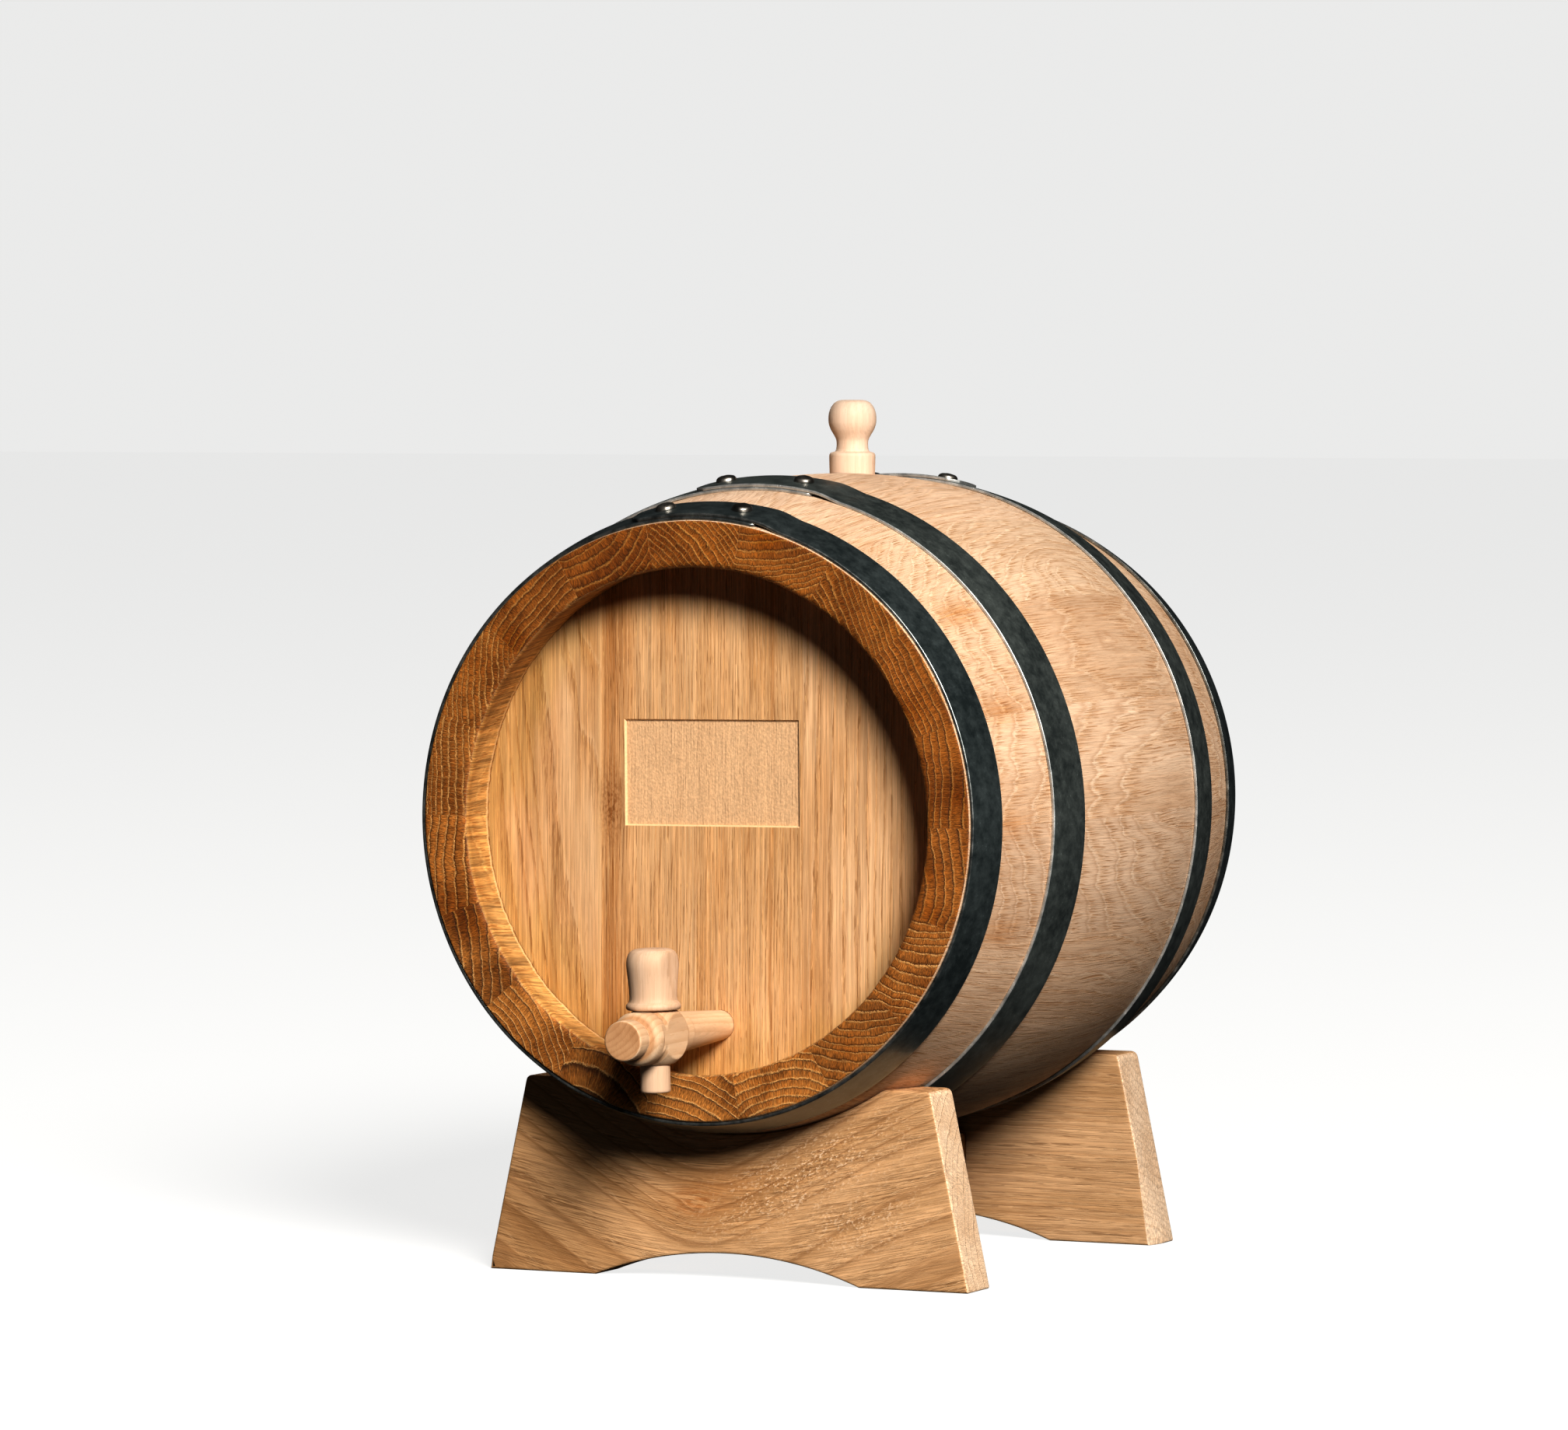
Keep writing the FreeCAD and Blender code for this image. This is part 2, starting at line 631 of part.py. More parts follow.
# ---------------------------------------------------------------- stand
# Two upright planks with a saddle above and an arch between the feet, held
# apart by one rail that is dowelled to their inner faces.
def cradle(name, label, from_face, r_front, r_back):
    body = new_body(name + "_plank")
    height = D("plank_height")
    pts = [
        (-D("plank_foot_half"), 0),
        (-D("arch_half"), 0),
        (D("arch_half"), 0),
        (D("plank_foot_half"), 0),
        (D("plank_top_half"), height),
        (-D("plank_top_half"), height),
    ]
    sk = outline(body, "XZ_Plane", name + "_face", pts, {1: ((0, VALUE["arch_rise"]), D("arch_arc"))})
    pad = body.newObject("PartDesign::Pad", name + "_pad")
    pad.Profile = sk
    bind(pad, "Length", D("plank_thick"))
    pad.Reversed = True            # the face looks to -Y, the wood lies behind it
    body.Placement = Pla(Vec(0, (D("front_face_y") + from_face).v, 0), Rot())
    bind(body, "Placement.Base.y", D("front_face_y") + from_face)
    slope = (r_back - r_front) / D("plank_thick")
    saddle = solid("Cone", name + "_saddle", {
        "Radius1": r_front + D("saddle_gap") - slope * 2,
        "Radius2": r_back + D("saddle_gap") + slope * 2,
        "Height": D("plank_thick") + 4},
        base=(0, D("front_face_y") + from_face - 2, D("axis_height")), turn=ALONG_Y)
    pegs = []
    inner = name == "front"
    for side, sign in (("left", -1), ("right", 1)):
        face = D("front_face_y") + from_face
        start = (face + D("plank_thick") - D("peg_in_plank")) if inner else \
            (face + D("peg_in_plank") - D("peg_length"))
        pegs.append((sign, start))
    holes = [solid("Cylinder", "%s_peg_hole_%d" % (name, n), {
        "Radius": D("peg_radius"), "Height": D("peg_length")},
        base=(D("peg_spread") * sign, start, D("rail_low") + D("rail_height") / 2), turn=ALONG_Y)
        for n, (sign, start) in enumerate(pegs)]
    made = [solid("Cylinder", "%s_peg_%d" % (name, n), {
        "Radius": D("peg_radius"), "Height": D("peg_length")},
        base=(D("peg_spread") * sign, start, D("rail_low") + D("rail_height") / 2), turn=ALONG_Y)
        for n, (sign, start) in enumerate(pegs)]
    keep(cut(name + "_cradle_cut", body, joined(name + "_cradle_tools", [saddle] + holes)), label)
    return made


front_from = D("plank_from_face")
rear_from = D("cask_length") - D("plank_from_face") - D("plank_thick")
near, far = outside(front_from), outside(front_from + D("plank_thick"))
front_pegs = cradle("front", "front_cradle", front_from, near, far)
rear_pegs = cradle("rear", "rear_cradle", rear_from, far, near)

rail_start = D("front_face_y") + front_from + D("plank_thick")
rail = solid("Box", "rail_blank", {
    "Length": D("rail_width"), "Width": rear_from - front_from - D("plank_thick"), "Height": D("rail_height")},
    base=(-(D("rail_width") / 2), rail_start, D("rail_low")))
rail_tools = []
for n, peg in enumerate(front_pegs + rear_pegs):
    hole = doc.addObject("Part::Cylinder", "rail_peg_hole_%d" % n)
    bind(hole, "Radius", D("peg_radius"))
    bind(hole, "Height", D("peg_length"))
    hole.Placement = peg.Placement
    rail_tools.append(hole)
keep(cut("rail_bored", rail, joined("rail_tools", rail_tools)), "stand_rail")
keep(group("peg_set", front_pegs + rear_pegs), "stand_dowels")

# ---------------------------------------------------------------- output
doc.recompute()
bad = []
for obj in doc.Objects:
    if "Invalid" in obj.State or "Error" in obj.State:
        bad.append(obj.Name + " " + " ".join(obj.State))
for obj in PARTS:
    if obj.Shape.isNull() or not obj.Shape.isValid():
        bad.append(obj.Label + " has no valid shape")
if bad:
    raise RuntimeError("failed: " + "; ".join(bad))

os.makedirs("parts", exist_ok=True)
whole = None
for obj in PARTS:
    obj.Shape.exportStep("parts/%s.step" % obj.Label)
    box = obj.Shape.BoundBox
    print("%-22s solids %2d  volume %9.1f mm3  x %7.1f %7.1f  y %7.1f %7.1f  z %7.1f %7.1f" % (
        obj.Label, len(obj.Shape.Solids), obj.Shape.Volume,
        box.XMin, box.XMax, box.YMin, box.YMax, box.ZMin, box.ZMax))
    whole = box if whole is None else whole.united(box)
print("%d parts, box x %.2f %.2f y %.2f %.2f z %.2f %.2f" % (
    len(PARTS), whole.XMin, whole.XMax, whole.YMin, whole.YMax, whole.ZMin, whole.ZMax))
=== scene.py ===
import math

import bmesh
import bpy
import numpy as np
from mathutils import Matrix, Vector
from mathutils.geometry import delaunay_2d_cdt


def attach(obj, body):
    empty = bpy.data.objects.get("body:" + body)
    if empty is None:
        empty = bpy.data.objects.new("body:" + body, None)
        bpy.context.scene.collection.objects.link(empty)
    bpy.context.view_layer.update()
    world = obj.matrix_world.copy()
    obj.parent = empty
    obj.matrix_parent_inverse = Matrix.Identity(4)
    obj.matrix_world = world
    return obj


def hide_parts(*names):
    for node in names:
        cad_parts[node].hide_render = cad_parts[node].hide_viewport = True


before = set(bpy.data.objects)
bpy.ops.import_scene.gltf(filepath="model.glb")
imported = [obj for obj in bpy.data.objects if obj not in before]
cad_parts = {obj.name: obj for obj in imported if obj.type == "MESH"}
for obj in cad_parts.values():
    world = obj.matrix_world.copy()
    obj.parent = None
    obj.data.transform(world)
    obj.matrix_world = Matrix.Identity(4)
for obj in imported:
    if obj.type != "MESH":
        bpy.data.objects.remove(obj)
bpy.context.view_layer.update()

# Lengths are in millimetres until a mesh is written. Cask frame: origin at the
# middle of the front chime face, +Y into the cask, +Z up. Row frame: origin on
# the floor. FACE_Y and AXIS_Z place one in the other.
FACE_Y, AXIS_Z = -91.4, 156.0
LENGTH, R_END, R_MID = 236.0, 100.0, 115.0
BILGE = 471.633
TO_ROW = np.array([0.0, FACE_Y, AXIS_Z])
TONE = 0.8


def outside(y):
    d = np.asarray(y, float) - LENGTH / 2
    return R_MID - BILGE + np.sqrt(BILGE * BILGE - d * d)


def bore(y):
    d = np.asarray(y, float) - LENGTH / 2
    return 100.0 - 356.363 + np.sqrt(356.363 ** 2 - d * d)


def smooth01(x):
    x = np.clip(x, 0, 1)
    return x * x * (3 - 2 * x)


# ------------------------------------------------------------------ camera
def make_camera():
    cam = bpy.data.cameras.new("camera")
    cam.sensor_fit = "HORIZONTAL"
    cam.sensor_width = 36.0
    cam.lens = 10000.0 / 2016.0 * 36.0
    cam.clip_start, cam.clip_end = 0.05, 60
    obj = bpy.data.objects.new("camera", cam)
    bpy.context.scene.collection.objects.link(obj)
    az, el, roll = math.radians(24.708), math.radians(2.274), math.radians(0.114)
    back = Vector((math.sin(az) * math.cos(el), -math.cos(az) * math.cos(el), math.sin(el)))
    right = Vector((math.cos(az), math.sin(az), 0.0))
    up = right.cross(-back)
    r = math.cos(roll) * right + math.sin(roll) * up
    u = -math.sin(roll) * right + math.cos(roll) * up
    m = Matrix((r, u, back)).transposed().to_4x4()
    m.translation = Vector((1.10696, -2.42449, 0.29411))
    obj.matrix_world = m
    bpy.context.scene.camera = obj


make_camera()


# ------------------------------------------------------------ mesh helpers
def build(name, verts, faces, body, nodes, mats, face_mat=None, flat=False):
    """A mesh object from row-frame millimetres, riding on a body."""
    me = bpy.data.meshes.new(name)
    me.from_pydata([tuple(v) for v in np.asarray(verts, float) * 0.001], [], [tuple(int(i) for i in f) for f in faces])
    me.validate(clean_customdata=False)
    obj = bpy.data.objects.new(name, me)
    bpy.context.scene.collection.objects.link(obj)
    for m in mats if isinstance(mats, (list, tuple)) else [mats]:
        me.materials.append(m)
    if face_mat is not None:
        me.polygons.foreach_set("material_index", np.asarray(face_mat, np.int32))
    me.polygons.foreach_set("use_smooth", [not flat] * len(me.polygons))
    register(obj, body, nodes)
    return obj


def register(obj, body, nodes):
    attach(obj, body)
    if nodes:
        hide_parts(*([nodes] if isinstance(nodes, str) else nodes))


def outward(obj):
    bm = bmesh.new()
    bm.from_mesh(obj.data)
    bmesh.ops.recalc_face_normals(bm, faces=bm.faces)
    bm.to_mesh(obj.data)
    bm.free()


def coords(obj):
    co = np.zeros(len(obj.data.vertices) * 3, np.float32)
    obj.data.vertices.foreach_get("co", co)
    return co.reshape(-1, 3).astype(float) * 1000.0


def point_vectors(obj, name, values):
    a = obj.data.attributes.get(name) or obj.data.attributes.new(name, "FLOAT_VECTOR", "POINT")
    a.data.foreach_set("vector", np.asarray(values, np.float32).ravel())


def face_vectors(obj, name, values):
    a = obj.data.attributes.get(name) or obj.data.attributes.new(name, "FLOAT_VECTOR", "FACE")
    a.data.foreach_set("vector", np.asarray(values, np.float32).ravel())


def face_normals(obj):
    n = np.zeros(len(obj.data.polygons) * 3, np.float32)
    obj.data.polygons.foreach_get("normal", n)
    return n.reshape(-1, 3).astype(float)


def face_centres(obj):
    n = np.zeros(len(obj.data.polygons) * 3, np.float32)
    obj.data.polygons.foreach_get("center", n)
    return n.reshape(-1, 3).astype(float) * 1000.0


def unit(v):
    v = np.asarray(v, float)
    return v / np.linalg.norm(v)


def timber(obj, origin, across, up, grain, pith, spacing, seed, oil=0.0, tint=(1, 1, 1), along=0.0,
           stain=None, smooth_cut=False, rays=0.0, ink=None, lean=0.0, knots=(), flow=None):
    """Gives a piece its place in the log it was cut from. origin, across, up and grain are in
    the row frame; pith is the log's centre seen from origin, along across and up. lean tips the
    rings against the pores; a knot (place, reach, push) bends rings and grain round it, and
    flow gives how far, across, the rings and the grain have swept at a place."""
    a, b, g = unit(across), unit(up), unit(grain)
    p = coords(obj) - np.asarray(origin, float)
    x, y, z = p @ a - pith[0], p @ b - pith[1], p @ g + along
    swept = 0.0
    if flow:
        rings, swept = flow(coords(obj))
        x = x - rings
        swept = rings - swept
    # turn the section so that the piece lies on the +X side of the log's centre
    c = unit([-pith[0], -pith[1]]) if math.hypot(*pith) > 1e-6 else np.array([1.0, 0.0])
    wood = np.stack([x * c[0] + y * c[1], -x * c[1] + y * c[0], z], 1)
    for place, size, push in knots:
        d2 = (((coords(obj) - np.asarray(place, float)) / size) ** 2).sum(1)
        wood[:, 0] += push * np.exp(-d2)
    point_vectors(obj, "wood", wood)
    bend = wood[:, 0] - (x * c[0] + y * c[1])
    point_vectors(obj, "skin", np.stack([x + 0.35 * bend + swept, y, z], 1))
    n = len(obj.data.vertices)
    reach = max(6.0, math.hypot(*pith))
    point_vectors(obj, "par", np.tile([spacing, reach, seed], (n, 1)))
    point_vectors(obj, "tint", np.tile(tint, (n, 1)))
    dark = np.zeros(n) if ink is None else ink(coords(obj))
    point_vectors(obj, "look", np.stack([np.full(n, rays), dark, np.full(n, lean)], 1))
    if smooth_cut:
        nrm = np.zeros(n * 3, np.float32)
        obj.data.vertices.foreach_get("normal", nrm)
        end = np.abs(nrm.reshape(-1, 3) @ g)
        o = np.full(n, oil) if np.isscalar(oil) else oil(coords(obj))
        point_vectors(obj, "cut", np.stack([end, o, np.zeros(n)], 1))
    else:
        fn, fc = face_normals(obj), face_centres(obj)
        end = np.abs(fn @ g)
        o = np.full(len(fn), oil) if np.isscalar(oil) else oil(fc, fn)
        s = np.zeros(len(fn)) if stain is None else stain(fc, fn)
        face_vectors(obj, "cut", np.stack([end, o, s], 1))


def weighted(obj):
    m = obj.modifiers.new("normals", "WEIGHTED_NORMAL")
    m.weight = 80
    m.keep_sharp = True


def applied(obj):
    """Bakes an object's modifiers into its mesh."""
    dg = bpy.context.evaluated_depsgraph_get()
    me = bpy.data.meshes.new_from_object(obj.evaluated_get(dg), preserve_all_data_layers=True, depsgraph=dg)
    old = obj.data
    obj.modifiers.clear()
    obj.data = me
    me.name = obj.name
    bpy.data.meshes.remove(old)


def carve(obj, cutters, mode="DIFFERENCE"):
    """Cuts closed meshes out of a piece."""
    tools = []
    for verts, faces in cutters:
        me = bpy.data.meshes.new("cutter")
        me.from_pydata([tuple(v) for v in np.asarray(verts, float) * 0.001], [], [tuple(int(i) for i in f) for f in faces])
        bm = bmesh.new()
        bm.from_mesh(me)
        bmesh.ops.recalc_face_normals(bm, faces=bm.faces)
        bm.to_mesh(me)
        bm.free()
        t = bpy.data.objects.new("cutter", me)
        bpy.context.scene.collection.objects.link(t)
        m = obj.modifiers.new("cut", "BOOLEAN")
        m.operation, m.solver, m.object = mode, "EXACT", t
        tools.append(t)
    bpy.context.view_layer.update()
    applied(obj)
    for t in tools:
        me = t.data
        bpy.data.objects.remove(t)
        bpy.data.meshes.remove(me)
    for p in obj.data.polygons:
        p.use_smooth = True


def ring_faces(rows, cols, closed=True):
    """Quads between consecutive rings of points, each ring with cols points."""
    f = []
    span = cols if closed else cols - 1
    for i in range(rows - 1):
        for j in range(span):
            k = (j + 1) % cols
            f.append((i * cols + j, i * cols + k, (i + 1) * cols + k, (i + 1) * cols + j))
    return f


def turned(profile, segs=96, shape=None):
    """Lathe work about Z from (radius, height) pairs, ends on the axis. shape(r, angle, h) may
    change the radius."""
    prof = [(float(r), float(h)) for r, h in profile]
    inner = prof[1:-1]
    ang = np.linspace(0, 2 * np.pi, segs, endpoint=False)
    verts = [(0, 0, prof[0][1])]
    for r, h in inner:
        rr = np.full(segs, r) if shape is None else shape(np.full(segs, r), ang, h)
        verts += [(rr[k] * math.cos(ang[k]), rr[k] * math.sin(ang[k]), h) for k in range(segs)]
    verts.append((0, 0, prof[-1][1]))
    faces = [(0, 1 + (k + 1) % segs, 1 + k) for k in range(segs)]
    faces += [tuple(1 + i for i in f) for f in ring_faces(len(inner), segs)]
    last, base = len(verts) - 1, 1 + (len(inner) - 1) * segs
    faces += [(last, base + k, base + (k + 1) % segs) for k in range(segs)]
    return np.array(verts), faces


def eased(points, steps=6):
    """A smooth line through (r, h) points (Catmull-Rom)."""
    p = np.array(points, float)
    q = np.vstack([2 * p[0] - p[1], p, 2 * p[-1] - p[-2]])
    out = []
    for i in range(1, len(q) - 2):
        for t in np.linspace(0, 1, steps, endpoint=False):
            a, b, c, d = q[i - 1], q[i], q[i + 1], q[i + 2]
            out.append(0.5 * (2 * b + (c - a) * t + (2 * a - 5 * b + 4 * c - d) * t ** 2 + (3 * b - a - 3 * c + d) * t ** 3))
    out.append(p[-1])
    return [tuple(v) for v in out]


def wobble(x, seed, scale=1.0):
    """Smooth 1-D noise around zero, about -1 to 1."""
    x = np.asarray(x, float) * scale + seed * 37.13
    i = np.floor(x)
    f = x - i
    f = f * f * (3 - 2 * f)

    def h(k):
        s = np.sin(k * 127.1 + 11.7) * 43758.5453
        return (s - np.floor(s)) * 2 - 1
    return h(i) * (1 - f) + h(i + 1) * f


# ---------------------------------------------------------------- node help
class Nodes:
    """Short names for building node trees."""

    def __init__(self, tree):
        self.t = tree

    def new(self, kind, **props):
        n = self.t.nodes.new(kind)
        for k, v in props.items():
            setattr(n, k, v)
        return n

    def put(self, value, socket):
        if isinstance(value, bpy.types.NodeSocket):
            self.t.links.new(value, socket)
        elif isinstance(value, (tuple, list)) and socket.type == "RGBA":
            socket.default_value = tuple(value) + (1.0,) * (4 - len(value))
        else:
            socket.default_value = value

    def math(self, op, a, b=None, c=None, clamp=False):
        n = self.new("ShaderNodeMath", operation=op, use_clamp=clamp)
        for i, v in enumerate((a, b, c)):
            if v is not None:
                self.put(v, n.inputs[i])
        return n.outputs[0]

    def vec(self, op, a, b=None, scale=None):
        n = self.new("ShaderNodeVectorMath", operation=op)
        self.put(a, n.inputs[0])
        if b is not None:
            self.put(b, n.inputs[1])
        if scale is not None:
            self.put(scale, n.inputs["Scale"])
        return n.outputs["Value"] if op in ("LENGTH", "DOT_PRODUCT", "DISTANCE") else n.outputs["Vector"]

    def xyz(self, v):
        n = self.new("ShaderNodeSeparateXYZ")
        self.put(v, n.inputs[0])
        return n.outputs[0], n.outputs[1], n.outputs[2]

    def join(self, x, y, z):
        n = self.new("ShaderNodeCombineXYZ")
        for i, v in enumerate((x, y, z)):
            self.put(v, n.inputs[i])
        return n.outputs[0]

    def noise(self, v, scale=1.0, detail=0.0, rough=0.5, dims="3D"):
        n = self.new("ShaderNodeTexNoise", noise_dimensions=dims)
        if dims == "1D":
            self.put(v, n.inputs["W"])
        else:
            self.put(v, n.inputs["Vector"])
        n.inputs["Scale"].default_value = scale
        n.inputs["Detail"].default_value = detail
        n.inputs["Roughness"].default_value = rough
        return n.outputs[0], n.outputs[1]

    def white(self, w):
        n = self.new("ShaderNodeTexWhiteNoise", noise_dimensions="1D")
        self.put(w, n.inputs["W"])
        return n.outputs[0]

    def step(self, x, lo, hi):
        """0 below lo, 1 above hi, smooth between."""
        n = self.new("ShaderNodeMapRange", interpolation_type="SMOOTHSTEP")
        self.put(x, n.inputs[0])
        self.put(lo, n.inputs[1])
        self.put(hi, n.inputs[2])
        return n.outputs[0]

    def span(self, x, a, b, c, d):
        n = self.new("ShaderNodeMapRange")
        self.put(x, n.inputs[0])
        for i, v in enumerate((a, b, c, d)):
            self.put(v, n.inputs[i + 1])
        return n.outputs[0]

    def mix(self, fac, a, b, how="MIX"):
        n = self.new("ShaderNodeMix", data_type="RGBA", blend_type=how)
        n.clamp_factor = True
        self.put(fac, n.inputs[0])
        self.put(a, n.inputs[6])
        self.put(b, n.inputs[7])
        return n.outputs[2]

    def attr(self, name):
        return self.new("ShaderNodeAttribute", attribute_type="GEOMETRY", attribute_name=name).outputs["Vector"]

    def add(self, *xs):
        out = xs[0]
        for x in xs[1:]:
            out = self.math("ADD", out, x)
        return out

    def mul(self, *xs):
        out = xs[0]
        for x in xs[1:]:
            out = self.math("MULTIPLY", out, x)
        return out


def wood_field():
    """Node group: what an oak log holds at the place given by the attributes wood (mm, Z along
    the grain, rings round its origin) and par (ring width, distance from the centre, seed)."""
    g = bpy.data.node_groups.new("oak_log", "ShaderNodeTree")
    names = ["Line", "Late", "Pore", "Dash", "Ray", "Crossing", "Stroke", "Fibre", "Streak", "Blotch", "Ring", "Band", "Rim", "FleckAndGlint", "Rung"]
    for n in names:
        g.interface.new_socket(n, in_out="OUTPUT", socket_type="NodeSocketFloat")
    for n, v in (("Warp", 1.0), ("Ripple", 1.0), ("Edge", 1.0), ("Clump", 0.6)):
        s = g.interface.new_socket(n, in_out="INPUT", socket_type="NodeSocketFloat")
        s.default_value = v
    N = Nodes(g)
    inp = N.new("NodeGroupInput")
    out = N.new("NodeGroupOutput")
    W = N.attr("wood")
    spacing, reach, seed = N.xyz(N.attr("par"))
    S = N.join(N.mul(seed, 3.71), N.mul(seed, 7.13), N.mul(seed, 11.9))

    G = N.attr("skin")

    def at(sx, sy, sz):
        return N.vec("ADD", N.vec("MULTIPLY", W, (sx, sy, sz)), S)

    def on(sx, sz, salt=0.0):
        """Like at, but drawn out along the grain of the surface itself."""
        return N.vec("ADD", N.vec("MULTIPLY", G, (sx, sx * 0.16, sz)), N.vec("ADD", S, (salt, salt * 0.7, salt * 1.3)))

    big = N.noise(at(0.030, 0.030, 0.006), detail=1.0)[1]
    big = N.vec("SUBTRACT", big, (0.5, 0.5, 0.5))
    big = N.vec("MULTIPLY", N.vec("SCALE", big, scale=N.mul(inp.outputs["Warp"], 7.0)), (1, 1, 0))
    rip = N.noise(at(0.20, 0.20, 0.020), detail=1.0)[1]
    rip = N.vec("SUBTRACT", rip, (0.5, 0.5, 0.5))
    # rings waver more, and fray less, on long grain than on a sawn end
    inland = N.step(N.math("SUBTRACT", 118.0, N.math("ABSOLUTE", N.math("SUBTRACT", N.xyz(W)[2], 118.0))), 3.0, 14.0)
    rip = N.vec("MULTIPLY", N.vec("SCALE", rip, scale=N.mul(inp.outputs["Ripple"], N.math("ADD", 1.6, N.mul(inland, 0.9)))), (1, 1, 0))
    wx, wy, wz = N.xyz(W)
    lean = N.xyz(N.attr("look"))[2]
    P = N.vec("ADD", N.vec("ADD", N.vec("ADD", W, big), rip), N.join(N.mul(lean, wz), 0.0, 0.0))
    px, py, pz = N.xyz(P)
    rho = N.math("SQRT", N.math("ADD", N.mul(px, px), N.mul(py, py)))
    edge = N.noise(at(1.9, 1.9, 0.06), detail=2.0, rough=0.65)[0]
    edge = N.mul(N.math("SUBTRACT", edge, 0.5), N.math("ADD", 0.85, N.mul(inland, -0.30)), inp.outputs["Edge"])
    rj = N.math("ADD", rho, edge)
    wide = N.noise(N.add(N.mul(rho, 0.085), N.mul(seed, 5.3)), dims="1D")[0]
    q = N.math("ADD", N.math("DIVIDE", rj, spacing), N.mul(N.math("SUBTRACT", wide, 0.5), 1.3))
    i = N.math("FLOOR", q)
    f = N.math("SUBTRACT", q, i)
    ring = N.white(N.add(i, N.mul(seed, 13.7)))
    near = N.mul(N.math("MINIMUM", f, N.math("SUBTRACT", 1.0, f)), spacing)
    sv = N.vec("ADD", N.join(N.mul(N.mul(N.math("ARCTAN2", py, px), reach), 2.9), N.mul(rho, 0.62), N.mul(pz, 0.17)), S)
    stroke = N.noise(sv, detail=2.0, rough=0.6)[0]
    frayed = N.math("ADD", near, N.mul(N.math("SUBTRACT", stroke, 0.5), 1.05))
    line = N.math("SUBTRACT", 1.0, N.step(frayed, 0.08, 0.40))
    broken = N.noise(at(0.9, 0.9, 0.02), detail=1.0)[0]
    line = N.mul(line, N.math("ADD", 0.45, N.mul(ring, 0.55)), N.span(broken, 0.35, 0.55, 0.45, 1.0))
    # the shadow line beside the open pores of spring wood
    rim = N.mul(N.step(f, 0.74, 0.92), N.math("SUBTRACT", 1.0, line))
    band = N.math("SUBTRACT", 1.0, N.step(f, 0.05, 0.52))
    late = N.mul(N.step(f, 0.30, 0.98), N.math("ADD", 0.45, N.mul(ring, 0.55)))
    pores = N.noise(on(3.1, 0.095, 5.0), detail=2.0)[0]
    clump = inp.outputs["Clump"]
    thick = N.math("ADD", N.math("SUBTRACT", 1.0, clump), N.mul(band, clump))
    pore = N.mul(N.step(pores, 0.545, 0.605), thick)
    # open vessels: hairlines along the grain, broken into lengths, closest in spring wood
    def hairs(sx, sz, salt, wide):
        n = N.noise(on(sx, sz, salt), detail=1.0, rough=0.4)[0]
        n = N.math("ABSOLUTE", N.math("SUBTRACT", n, 0.5))
        m = N.noise(on(0.8, 0.11, salt + 30.0), detail=1.0)[0]
        return N.mul(N.math("SUBTRACT", 1.0, N.step(n, wide * 0.5, wide)), N.step(m, 0.46, 0.53))
    dash = N.math("MAXIMUM", hairs(0.95, 0.030, 3.0, 0.040), hairs(0.66, 0.018, 17.0, 0.026))
    dash = N.mul(dash, thick)
    # where a surface runs nearly along the rings, the vessels of each lie side by side like rungs
    gx, gy, gz = N.xyz(G)
    u = N.add(gx, N.mul(N.math("SUBTRACT", N.noise(on(0.10, 0.02, 41.0))[0], 0.5), 6.0), N.mul(i, 3.7))
    k = N.math("FLOOR", u)
    pick = N.white(N.add(k, N.mul(i, 31.0)))
    off = N.math("ABSOLUTE", N.math("SUBTRACT", N.math("SUBTRACT", u, k), N.span(pick, 0.0, 1.0, 0.30, 0.70)))
    spot = N.math("ADD", f, N.mul(N.math("SUBTRACT", N.white(N.add(k, N.mul(i, 17.0))), 0.5), 0.22))
    reach_ = N.mul(N.step(spot, 0.04, 0.12), N.math("SUBTRACT", 1.0, N.step(spot, 0.34, 0.66)))
    gaps = N.step(N.noise(on(1.0, 0.10, 53.0), detail=1.0)[0], 0.40, 0.50)
    rung = N.mul(N.math("SUBTRACT", 1.0, N.step(off, 0.12, 0.26)), reach_, gaps, N.span(pick, 0.0, 1.0, 0.45, 1.0))
    # flecks, thickest in spring wood: partly the wood's own flecks, partly painted golden glints where the rays catch
    # the light
    flecks = N.noise(at(3.1, 3.1, 0.26), detail=1.0)[0]
    fleck_and_glint = N.mul(N.step(flecks, 0.63, 0.70), N.math("ADD", 0.35, N.mul(band, 0.65)))
    tau = N.mul(N.math("ARCTAN2", py, px), reach)

    def rays(pitch, half, salt, keep):
        """Thin lines from the centre of the log outwards, one to a pitch, coming and going."""
        u = N.math("ADD", N.math("DIVIDE", tau, pitch), N.mul(seed, salt))
        wander = N.noise(N.vec("ADD", N.join(N.mul(tau, 0.05), N.mul(rho, 0.10), N.mul(pz, 0.02)), S))[0]
        u = N.math("ADD", u, N.mul(N.math("SUBTRACT", wander, 0.5), 1.1 / pitch))
        k = N.math("FLOOR", u)
        c = N.math("SUBTRACT", N.math("SUBTRACT", u, k), N.span(N.white(N.add(k, seed)), 0.0, 1.0, 0.18, 0.82))
        d = N.mul(N.math("ABSOLUTE", c), pitch)
        there = N.noise(N.join(N.mul(k, 7.31), N.mul(rho, 0.11), N.mul(pz, 0.09)), detail=0.0)[0]
        return N.mul(N.math("SUBTRACT", 1.0, N.step(d, half * 0.45, half * 1.25)), N.step(there, keep - 0.07, keep + 0.07))
    ray = N.math("MAXIMUM", rays(1.15, 0.085, 3.3, 0.50), N.mul(rays(0.62, 0.07, 8.1, 0.52), 0.6))
    crossing = rays(4.6, 0.13, 5.7, 0.47)
    fibre = N.noise(on(3.4, 0.045, 11.0), detail=2.0, rough=0.65)[0]
    streak = N.noise(on(1.15, 0.011, 23.0), detail=4.0, rough=0.68)[0]
